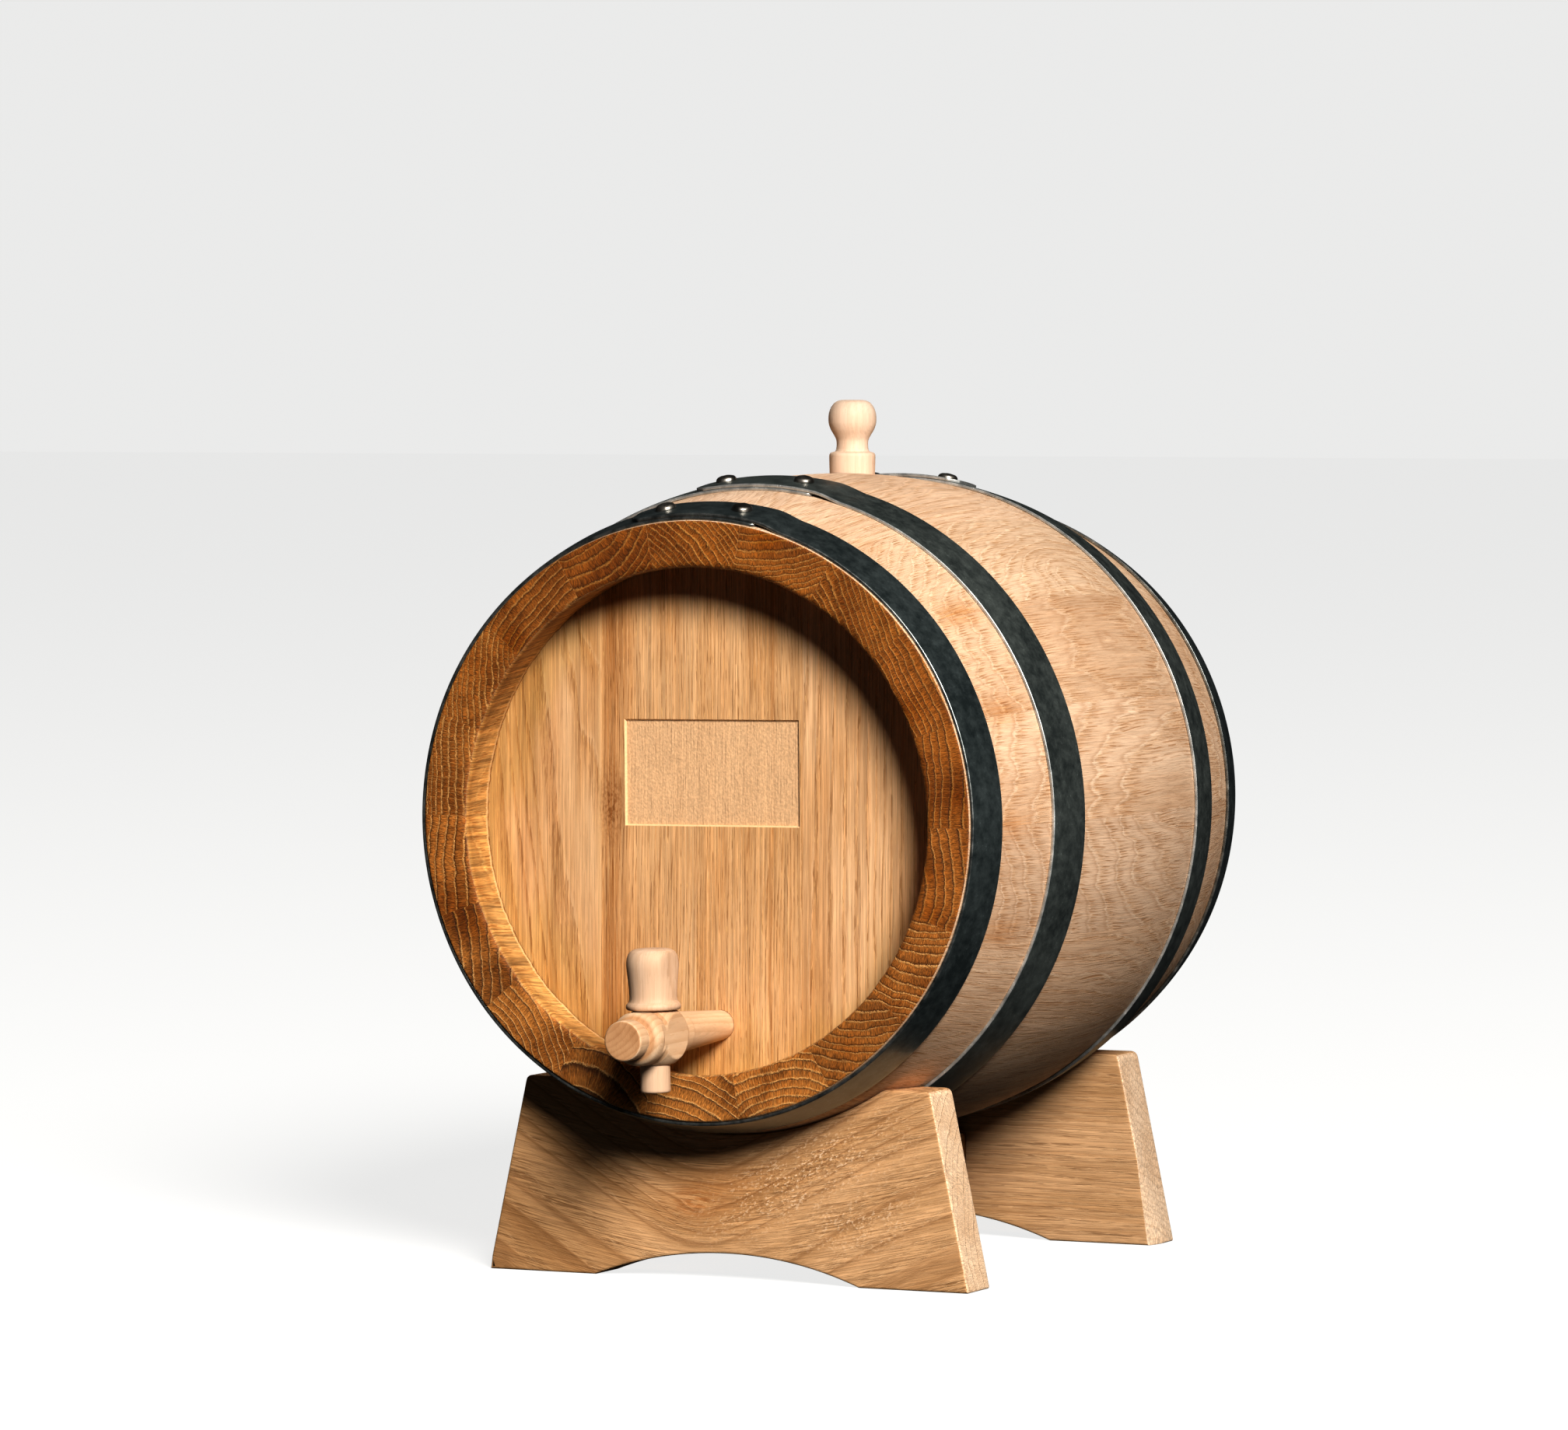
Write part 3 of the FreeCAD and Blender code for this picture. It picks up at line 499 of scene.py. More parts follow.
    blotch = N.noise(at(0.055, 0.055, 0.009), detail=3.0, rough=0.55)[0]
    for name, v in zip(names, (line, late, pore, dash, ray, crossing, stroke, fibre, streak, blotch, ring, band, rim, fleck_and_glint, rung)):
        N.put(v, out.inputs[name])
    return g


LOG = wood_field()


def bsdf(mat):
    return next(n for n in mat.node_tree.nodes if n.type == "BSDF_PRINCIPLED")


def new_material(name):
    m = bpy.data.materials.new(name)
    m.use_nodes = True
    return m, Nodes(m.node_tree), bsdf(m)


def srgb(r, g, b):
    """A colour as it should look in full light, seen through the picture's own contrast."""
    def lin(c):
        c = (c / 255.0) ** TONE
        return c / 12.92 if c <= 0.04045 else ((c + 0.055) / 1.055) ** 2.4
    return (lin(r), lin(g), lin(b))


def oak(name, side, end, oiled=(1.0, 0.70, 0.34), warp=1.0, ripple=1.0, edge=1.0, rough=0.62, bump=1.0, relief=1.0,
        band=0.3, line=0.5, pore=0.5, dash=0.4, ray=0.2, fibre=0.10, streak=0.12, late=0.35, fleck_and_glint=0.0, clump=0.6, rung=0.0, rim=0.0, figure=1.0, extra=None):
    """Solid oak. side and end hold the colours of long grain and end grain."""
    m, N, b = new_material(name)
    f = N.new("ShaderNodeGroup")
    f.node_tree = LOG
    f.inputs["Warp"].default_value = warp
    f.inputs["Ripple"].default_value = ripple
    f.inputs["Edge"].default_value = edge
    f.inputs["Clump"].default_value = clump
    o = f.outputs
    endness, oil, stain = N.xyz(N.attr("cut"))
    rayed, inked, marked = N.xyz(N.attr("look"))
    ragged = N.add(endness, N.mul(N.math("SUBTRACT", o["Stroke"], 0.5), 0.7), N.mul(N.math("SUBTRACT", o["Fibre"], 0.5), 0.5))
    isend = N.step(ragged, 0.42, 0.72)
    # long grain
    s = N.mix(N.step(o["Blotch"], 0.32, 0.68), side["dark"], side["light"])
    s = N.mix(N.mul(o["Late"], late), s, side["late"])
    s = N.mix(N.mul(o["Band"], band), s, side["early"])
    s = N.mix(N.mul(o["Rim"], rim), s, side["pore"])
    s = N.mix(N.mul(o["Line"], line), s, side["line"])
    s = N.mix(N.mul(o["Ray"], ray), s, side["ray"])
    s = N.vec("SCALE", s, scale=N.span(o["Streak"], 0.3, 0.7, 1.0 - streak, 1.0 + streak))
    s = N.mix(N.mul(o["Dash"], dash), s, side["pore"])
    s = N.mix(N.mul(o["Pore"], pore), s, side["pore"])
    s = N.mix(N.mul(o["Rung"], rung), s, side["pore"])
    # flecks take the fleck colour: where it is brighter than the wood, as on the heads and the stand, they are painted
    # glints
    s = N.mix(N.mul(o["FleckAndGlint"], fleck_and_glint), s, side.get("fleck_and_glint", side["line"]))
    # end grain
    e = N.mix(N.step(o["Blotch"], 0.34, 0.66), end["dark"], end["light"])
    e = N.mix(N.mul(o["Late"], 0.60 * figure), e, end["late"])
    e = N.vec("SCALE", e, scale=N.span(o["Stroke"], 0.34, 0.66, 1.0 - 0.38 * figure, 1.0 + 0.38 * figure))
    e = N.mix(N.mul(o["Ray"], N.math("ADD", 0.08, N.mul(rayed, 0.60))), e, end["ray"])
    e = N.mix(N.mul(o["Rim"], 0.80 * figure), e, end["pore"])
    e = N.mix(N.mul(o["Line"], 0.92 * figure), e, end["line"])
    e = N.vec("SCALE", e, scale=N.span(o["Stroke"], 0.34, 0.66, 0.84, 1.16))
    e = N.mix(N.mul(o["Crossing"], N.math("ADD", 0.14, N.mul(rayed, 0.35))), e, end["ray"])
    e = N.mix(inked, e, N.vec("MULTIPLY", e, (0.60, 0.42, 0.13)))
    col = N.mix(isend, s, e)
    # oil soaks in and deepens long grain; end grain's own colours already have it
    soak = N.mul(oil, N.math("SUBTRACT", 1.0, isend))
    col = N.vec("SCALE", col, scale=N.span(o["Fibre"], 0.32, 0.68, 1.0 - fibre, 1.0 + fibre))
    silk = N.mul(soak, 0.42)
    col = N.vec("SCALE", col, scale=N.span(o["Streak"], 0.36, 0.64, N.math("SUBTRACT", 1.0, silk), N.math("ADD", 1.0, N.mul(silk, 0.8))))
    col = N.mix(soak, col, N.vec("MULTIPLY", col, oiled))
    crept = N.mul(stain, N.span(o["Streak"], 0.38, 0.62, 0.55, 1.25))
    col = N.mix(crept, col, N.vec("MULTIPLY", col, (0.82, 0.60, 0.38)))
    col = N.vec("MULTIPLY", col, N.attr("tint"))
    raised = 0.0
    if extra:
        col, raised = extra(N, col, o, stain, isend)
    N.put(col, b.inputs["Base Color"])
    open_ = N.math("SUBTRACT", 1.0, N.mul(soak, 0.85))
    hs = N.add(N.mul(o["Pore"], -0.55, open_), N.mul(N.math("MAXIMUM", o["Dash"], N.mul(o["Rung"], rung)), -0.35, open_), N.mul(o["Fibre"], N.math("ADD", 0.40, N.mul(soak, 0.6))),
               raised)
    he = N.add(N.mul(o["Line"], 1.1), N.mul(o["Rim"], -0.8), N.mul(o["Stroke"], 0.9), N.mul(o["Ray"], N.mul(rayed, 0.5)),
               N.mul(o["Fibre"], 0.35))
    bn = N.new("ShaderNodeBump")
    bn.inputs["Strength"].default_value = 0.6
    bn.inputs["Distance"].default_value = 0.0002
    h = N.new("ShaderNodeMix", data_type="FLOAT")
    N.put(isend, h.inputs[0])
    N.put(N.mul(hs, bump), h.inputs[2])
    N.put(N.mul(he, relief), h.inputs[3])
    N.put(h.outputs[0], bn.inputs["Height"])
    N.put(bn.outputs[0], b.inputs["Normal"])
    r = N.span(N.math("ADD", o["Fibre"], N.mul(o["Pore"], 0.4)), 0.3, 1.0, rough - 0.07, rough + 0.18)
    N.put(r, b.inputs["Roughness"])
    b.inputs["Specular IOR Level"].default_value = 0.22
    return m


STAVE_SIDE = dict(dark=srgb(208, 168, 132), light=srgb(230, 193, 158), late=srgb(210, 166, 128), early=srgb(212, 165, 122),
                  line=srgb(244, 212, 178), ray=srgb(206, 158, 118), pore=srgb(160, 106, 64), fleck_and_glint=srgb(216, 152, 86))
CHIME_END = dict(dark=srgb(112, 60, 17), light=srgb(160, 96, 38), late=srgb(80, 38, 8), ray=srgb(204, 142, 72),
                 pore=srgb(40, 17, 4), line=srgb(232, 172, 100))


def stave_extra(N, col, o, stain, isend):
    """Torn fibres stand up where the wall of the recess meets the head."""
    x, y, z = N.xyz(N.new("ShaderNodeTexCoord").outputs["Object"])
    dz = N.math("SUBTRACT", z, AXIS_Z / 1000)
    r = N.math("SQRT", N.math("ADD", N.mul(x, x), N.mul(dz, dz)))
    turn = N.math("ARCTAN2", x, dz)
    hairs = N.noise(N.join(N.mul(turn, 170.0), N.mul(y, 110.0), 0.0), detail=2.0, rough=0.6)[0]
    deep = N.mul(N.math("ADD", y, -FACE_Y / 1000), 1000.0)
    at_head = N.step(N.math("ADD", deep, N.mul(N.math("SUBTRACT", hairs, 0.5), 3.6)), 19.5, 20.4)
    within = N.mul(at_head, N.math("SUBTRACT", 1.0, N.step(deep, 22.3, 22.6)), N.math("SUBTRACT", 1.0, N.step(r, 0.0895, 0.0900)))
    col = N.mix(N.mul(within, 0.80), col, srgb(232, 190, 132))
    # the wall is darkest where it turns into the chime
    wall = N.mul(N.math("SUBTRACT", 1.0, isend), N.step(deep, 22.6, 22.3), N.step(r, 0.0896, 0.0892))
    col = N.mix(N.mul(wall, N.step(deep, 15.0, 3.0), 0.55), col, N.vec("MULTIPLY", col, (0.62, 0.50, 0.34)))
    # and darker towards the top: painted shade for the deep shadow the rim casts over the top of the recess
    painted_top_shade = N.mul(wall, N.step(dz, -0.010, 0.060))
    col = N.mix(N.mul(painted_top_shade, 0.75), col, N.vec("MULTIPLY", col, (0.60, 0.48, 0.34)))
    return col, N.mul(within, 0.6, hairs)


M_STAVE = oak("stave_wood", STAVE_SIDE, CHIME_END, band=0.50, line=0.60, pore=0.26, dash=0.42, ray=0.10, late=0.30,
              streak=0.09, relief=1.8, oiled=(0.90, 0.80, 0.46), fleck_and_glint=0.28, clump=0.55, rung=0.80, rim=0.36, extra=stave_extra)

# the heads' bright gold fleck colour is a painted glint
HEAD_SIDE = dict(dark=srgb(192, 138, 86), light=srgb(222, 176, 128), late=srgb(184, 128, 74), early=srgb(182, 122, 66),
                 line=srgb(228, 182, 134), ray=srgb(206, 152, 98), pore=srgb(128, 78, 34), fleck_and_glint=srgb(240, 188, 118))
M_HEAD = oak("head_wood", HEAD_SIDE, CHIME_END, late=0.40, pore=0.62, dash=0.55, ray=0.12, streak=0.20, line=0.4, fleck_and_glint=0.5)

STAND_SIDE = dict(dark=srgb(176, 128, 80), light=srgb(212, 162, 112), late=srgb(158, 108, 62), early=srgb(200, 150, 100),
                  line=srgb(196, 146, 98), ray=srgb(176, 128, 84), pore=srgb(112, 70, 34), fleck_and_glint=srgb(236, 192, 142))
STAND_END = dict(dark=srgb(212, 172, 132), light=srgb(228, 192, 154), late=srgb(196, 152, 110), ray=srgb(236, 206, 172),
                 pore=srgb(150, 106, 66), line=srgb(240, 212, 178))
M_STAND = oak("stand_wood", STAND_SIDE, STAND_END, bump=1.5, late=0.5, pore=0.40, dash=0.45, streak=0.16, relief=0.8,
              fleck_and_glint=0.35, rung=0.25, figure=0.35)


def plank_extra(N, col, o, stain, isend):
    """The front plank: a knot, and a stretch to its right where the saw tore the grain."""
    tc = N.new("ShaderNodeTexCoord").outputs["Object"]
    x, y, z = N.xyz(tc)

    def hill(cx, cz, rx, rz, turn=0.0):
        c, s = math.cos(turn), math.sin(turn)
        dx, dz = N.math("SUBTRACT", x, cx), N.math("SUBTRACT", z, cz)
        u = N.math("DIVIDE", N.math("ADD", N.mul(dx, c), N.mul(dz, s)), rx)
        v = N.math("DIVIDE", N.math("SUBTRACT", N.mul(dz, c), N.mul(dx, s)), rz)
        return N.math("POWER", 2.718, N.mul(N.math("ADD", N.mul(u, u), N.mul(v, v)), -1.0))
    long = N.math("SUBTRACT", 1.0, isend)
    knot = N.mul(hill(-0.0115, 0.0265, 0.0085, 0.0050, 0.1), long)
    grit = N.noise(N.vec("MULTIPLY", tc, (0.5, 1.0, 1.6)), scale=420.0, detail=3.0, rough=0.6)[0]
    col = N.mix(N.mul(knot, N.step(grit, 0.42, 0.60), 0.75), col, N.vec("MULTIPLY", col, (0.72, 0.50, 0.28)))
    col = N.mix(N.mul(hill(-0.004, 0.030, 0.020, 0.011, 0.2), long, 0.55), col, N.vec("MULTIPLY", col, (1.02, 0.84, 0.62)))
    torn = N.mul(N.math("MAXIMUM", hill(0.030, 0.037, 0.036, 0.011, 0.46), N.mul(hill(0.050, 0.022, 0.022, 0.010, 0.3), 0.7)), long)
    slant = N.join(N.math("ADD", N.mul(x, 0.86 * 0.62), N.mul(z, 0.50 * 0.62)), N.mul(y, 1.0), N.math("SUBTRACT", N.mul(z, 0.86 * 1.2), N.mul(x, 0.50 * 1.2)))
    chips = N.noise(slant, scale=1350.0, detail=1.0, rough=0.5)[0]
    here = N.mul(torn, N.step(N.noise(slant, scale=170.0, detail=2.0)[0], 0.34, 0.58))
    col = N.mix(N.mul(here, N.step(chips, 0.58, 0.66), 0.75), col, srgb(246, 208, 168))
    col = N.mix(N.mul(here, N.math("SUBTRACT", 1.0, N.step(chips, 0.34, 0.42)), 0.55), col, N.vec("MULTIPLY", col, (0.55, 0.42, 0.30)))
    # the left end is darker and browner: partly the wood's own tone, partly painted shade for the cask's shadow over
    # that side
    col = N.mix(N.mul(N.step(x, -0.005, -0.070), 0.55), col, N.vec("MULTIPLY", col, (0.74, 0.66, 0.52)))
    return col, N.add(N.mul(here, chips, 2.6), N.mul(knot, grit, 1.5))


M_PLANK = oak("front_plank_wood", STAND_SIDE, STAND_END, bump=1.5, late=0.55, pore=0.42, dash=0.50, streak=0.16, relief=0.8,
              fleck_and_glint=0.45, rung=0.40, rim=0.42, line=0.6, figure=0.35, extra=plank_extra)


def close_grained(name, dark, light, end_dark, end_light, rough=0.55, contrast=0.5, bump=0.5):
    """Beech, maple and fruitwood: fine even grain with short flecks."""
    m, N, b = new_material(name)
    f = N.new("ShaderNodeGroup")
    f.node_tree = LOG
    f.inputs["Warp"].default_value = 0.8
    f.inputs["Ripple"].default_value = 0.5
    f.inputs["Edge"].default_value = 0.5
    o = f.outputs
    endness, oil, stain = N.xyz(N.attr("cut"))
    isend = N.step(endness, 0.55, 0.92)
    s = N.mix(N.step(o["Blotch"], 0.3, 0.7), dark, light)
    s = N.mix(N.mul(o["Late"], contrast), s, N.vec("MULTIPLY", s, (0.80, 0.70, 0.60)))
    e = N.mix(N.step(o["Blotch"], 0.3, 0.7), end_dark, end_light)
    e = N.mix(N.mul(o["Late"], contrast), e, N.vec("MULTIPLY", e, (0.72, 0.62, 0.52)))
    e = N.mix(N.mul(o["Ray"], 0.22), e, end_light)
    col = N.mix(isend, s, e)
    col = N.mix(N.mul(o["Pore"], 0.22), col, N.vec("MULTIPLY", col, (0.66, 0.56, 0.46)))
    col = N.mix(N.mul(o["FleckAndGlint"], 0.35), col, N.vec("MULTIPLY", col, (0.78, 0.62, 0.46)))
    tone = N.span(o["Fibre"], 0.3, 0.7, 0.95, 1.05)
    col = N.vec("MULTIPLY", N.vec("SCALE", col, scale=tone), N.attr("tint"))
    N.put(col, b.inputs["Base Color"])
    bn = N.new("ShaderNodeBump")
    bn.inputs["Strength"].default_value = 0.45 * bump
    bn.inputs["Distance"].default_value = 0.00015
    N.put(N.add(N.mul(o["Fibre"], 0.6), N.mul(o["Pore"], -0.4)), bn.inputs["Height"])
    N.put(bn.outputs[0], b.inputs["Normal"])
    N.put(N.span(o["Fibre"], 0.3, 0.7, rough - 0.05, rough + 0.1), b.inputs["Roughness"])
    b.inputs["Specular IOR Level"].default_value = 0.25
    return m


M_BUNG = close_grained("bung_wood", srgb(208, 176, 148), srgb(220, 192, 168), srgb(204, 172, 144), srgb(218, 190, 166), contrast=0.22)
M_TAP = close_grained("tap_wood", srgb(204, 162, 122), srgb(226, 190, 152), srgb(164, 112, 70), srgb(194, 144, 100), contrast=0.55)
M_KEY = close_grained("key_wood", srgb(196, 156, 122), srgb(212, 176, 144), srgb(200, 162, 128), srgb(220, 186, 156), contrast=0.35)
M_DOWEL = close_grained("dowel_wood", srgb(206, 168, 124), srgb(224, 190, 150), srgb(190, 150, 106), srgb(212, 176, 134))


def steel(name, base, light, rough, metallic, mottled=1.0, bump=0.3, coat=0.0):
    m, N, b = new_material(name)
    tc = N.new("ShaderNodeTexCoord").outputs["Object"]
    n1 = N.noise(tc, scale=230.0, detail=5.0, rough=0.72)[0]
    n2 = N.noise(tc, scale=1100.0, detail=2.0, rough=0.6)[0]
    n3 = N.noise(tc, scale=34.0, detail=3.0, rough=0.6)[0]
    k = N.math("ADD", N.mul(N.math("SUBTRACT", n1, 0.5), 2.2 * mottled), N.mul(N.math("SUBTRACT", n3, 0.5), 1.3 * mottled))
    k = N.math("ADD", 0.46, k)
    col = N.mix(k, base, light)
    col = N.mix(N.mul(N.step(n2, 0.60, 0.72), N.step(n1, 0.46, 0.60)), col, N.vec("SCALE", col, scale=1.7))
    N.put(col, b.inputs["Base Color"])
    b.inputs["Metallic"].default_value = metallic
    b.inputs["Coat Weight"].default_value = coat
    b.inputs["Coat Roughness"].default_value = 0.24
    b.inputs["Coat IOR"].default_value = 1.6
    r = N.span(n1, 0.3, 0.7, rough - 0.08, rough + 0.08)
    N.put(r, b.inputs["Roughness"])
    bn = N.new("ShaderNodeBump")
    bn.inputs["Strength"].default_value = bump
    bn.inputs["Distance"].default_value = 0.00012
    N.put(N.math("ADD", N.mul(n2, 0.5), n1), bn.inputs["Height"])
    N.put(bn.outputs[0], b.inputs["Normal"])
    return m


M_HOOP = steel("hoop_steel", srgb(44, 54, 55), srgb(86, 97, 97), 0.38, 0.70, mottled=1.2, coat=0.7)
M_HOOP_2 = steel("quarter_hoop_steel", srgb(52, 59, 58), srgb(96, 104, 100), 0.42, 0.62, mottled=1.2, coat=0.2)
M_LIP = steel("hoop_cut_edge", srgb(120, 124, 124), srgb(196, 196, 192), 0.42, 0.7, bump=0.05)
M_LIP_2 = steel("head_hoop_cut_edge", srgb(56, 62, 62), srgb(150, 152, 148), 0.36, 0.9, bump=0.05)
M_RIVET = steel("rivet_steel", srgb(98, 92, 84), srgb(176, 170, 160), 0.40, 1.0, mottled=0.9)


# ------------------------------------------------------------------ staves
def rounded(a, corner, b, radius, steps=3):
    """Points that round the corner between a and b."""
    a, c, b = (np.array(p, float) for p in (a, corner, b))
    u, v = unit(a - c), unit(b - c)
    p0, p1 = c + u * radius, c + v * radius
    out = []
    for t in np.linspace(0, 1, steps + 1):
        out.append(tuple((1 - t) ** 2 * p0 + 2 * t * (1 - t) * c + t * t * p1))
    return out


def stave_profile():
    ln, rd, cw = LENGTH, 22.2, 6.0
    ys = np.linspace(2.0, ln - 2.0, 79)
    pts = []
    pts += rounded((0, 90), (0, 100.0), (3, float(outside(3))), 0.7)
    pts += [(y, float(outside(y))) for y in ys]
    pts += rounded((ln - 3, float(outside(3))), (ln, 100.0), (ln, 90), 0.7)
    pts += [(ln, r) for r in (97.5, 95.0, 92.5, 90.0, 88.0)]
    pts += rounded((ln, 90), (ln, 84.2), (ln - 22.2, 87.4), 3.0, 8)
    pts += [(ln - y, 84.2 + 3.2 * y / 22.2) for y in (5, 9, 13, 17, 19.5, 21)]
    pts += [(ln - rd, 87.4), (ln - rd, 90.5), (ln - rd - cw, 90.5), (ln - rd - cw, 88.5)]
    pts += [(y, float(bore(y))) for y in np.linspace(ln - 34, 34, 43)]
    pts += [(rd + cw, 88.5), (rd + cw, 90.5), (rd, 90.5), (rd, 87.4)]
    pts += [(y, 84.2 + 3.2 * y / 22.2) for y in (21, 19.5, 17, 13, 9, 5)]
    pts += rounded((22.2, 87.4), (0, 84.2), (0, 90), 3.0, 8)
    pts += [(0.0, r) for r in (88.0, 90.0, 92.5, 95.0, 97.5)]
    return np.array(pts)


def profile_normals(p):
    d1 = p - np.roll(p, 1, 0)
    d2 = np.roll(p, -1, 0) - p
    d1 /= np.linalg.norm(d1, axis=1)[:, None]
    d2 /= np.linalg.norm(d2, axis=1)[:, None]
    n = np.stack([-(d1 + d2)[:, 1], (d1 + d2)[:, 0]], 1)
    n /= np.linalg.norm(n, axis=1)[:, None]
    cosine = np.clip(n[:, 0] * -d1[:, 1] + n[:, 1] * d1[:, 0], 0.5, 1)
    return n / cosine[:, None]


STAVE = stave_profile()
STAVE_N = profile_normals(STAVE)      # points out of the wood

# Ring pattern of each stave as the front chime shows it, in mm: where the log's centre lies
# (along the circle clockwise, outward), and ring width.
STAVE_LOG = {
    1: (-42, -42, 2.1), 2: (-63, 136, 2.3), 3: (-63, -136, 2.2), 4: (10, -300, 2.5), 5: (-30, -250, 3.4),
    6: (15, -68, 3.3), 7: (-36, -11, 2.9), 8: (-64, -77, 3.0), 9: (6, 38, 2.7), 10: (25, 68, 3.5),
    11: (2.7, 23, 6.0), 12: (18, 55, 3.0), 13: (25, 54, 3.6), 14: (-48, -194, 3.3), 15: (28, -198, 2.0),
    16: (85, -181, 1.9), 17: (8, -66, 2.8), 18: (-10, 34, 2.7)}
STAVE_TINT = {
    1: (1.04, 1.06, 1.10), 2: (1.05, 1.06, 1.08), 3: (1.0, 1.02, 1.03), 4: (0.96, 0.94, 0.92), 5: (1.03, 1.03, 1.04),
    6: (0.97, 0.96, 0.97), 7: (1.0, 0.97, 0.95), 8: (0.94, 0.93, 0.92), 9: (1.04, 1.02, 0.98), 10: (1.0, 1.0, 1.0),
    11: (0.97, 0.96, 0.95), 12: (1.02, 1.0, 0.98), 13: (0.88, 0.86, 0.86), 14: (1.05, 1.0, 0.94), 15: (1.03, 1.0, 0.97),
    16: (1.0, 0.98, 0.95), 17: (0.98, 0.98, 0.98), 18: (1.0, 1.0, 1.0)}


# how far the rings of a stave tip towards its outside, along its length
STAVE_LEAN = {1: 0.05, 2: 0.10, 3: 0.08, 4: 0.04, 5: 0.07, 6: 0.14, 7: -0.10, 8: 0.06, 9: -0.04, 10: 0.12, 11: 0.10,
              12: -0.03, 13: 0.08, 14: 0.05, 15: 0.02, 16: 0.09, 17: 0.11, 18: 0.03}
# oil that crept out of a joint under the head hoop: stave, its next joint, how far back, strength
SEEP = {3: (33.0, 1.0), 4: (27.0, 0.75), 5: (23.0, 0.70), 6: (27.0, 0.80), 8: (30.0, 0.5)}
# how dark each stave's end has gone
STAVE_INK = {1: 0.75, 2: 0.62, 3: 0.68, 4: 0.62, 5: 0.66, 6: 0.50, 7: 0.22, 8: 0.20, 9: 0.10, 10: 0.0, 11: 0.05, 12: 0.0,
             13: 0.22, 14: 0.22, 15: 0.30, 16: 0.42, 17: 0.62, 18: 0.78}
# darker or paler places on the chime: angle, radius, size, strength
CHIME_MARKS = ((311.5, 89.0, 4.5, 0.75), (303.0, 95.0, 7.0, 0.30), (16.0, 99.0, 6.0, 0.6), (108.0, 91.0, 5.0, 0.45),
               (142.0, 93.0, 7.0, 0.45), (246.0, 90.0, 8.0, 0.65), (252.0, 96.0, 6.0, 0.45), (238.0, 97.0, 7.0, -0.55),
               (182.0, 92.0, 9.0, -0.45), (100.0, 88.0, 4.0, 0.4), (64.0, 88.0, 6.0, 0.35), (84.0, 97.0, 5.0, 0.35))

STAVE_RAYS = {1: 0.5, 2: 0.15, 3: 0.55, 4: 0.35, 5: 0.4, 9: 0.8, 11: 0.6, 14: 0.6, 15: 0.95, 16: 0.5, 17: 0.2, 18: 0.15}


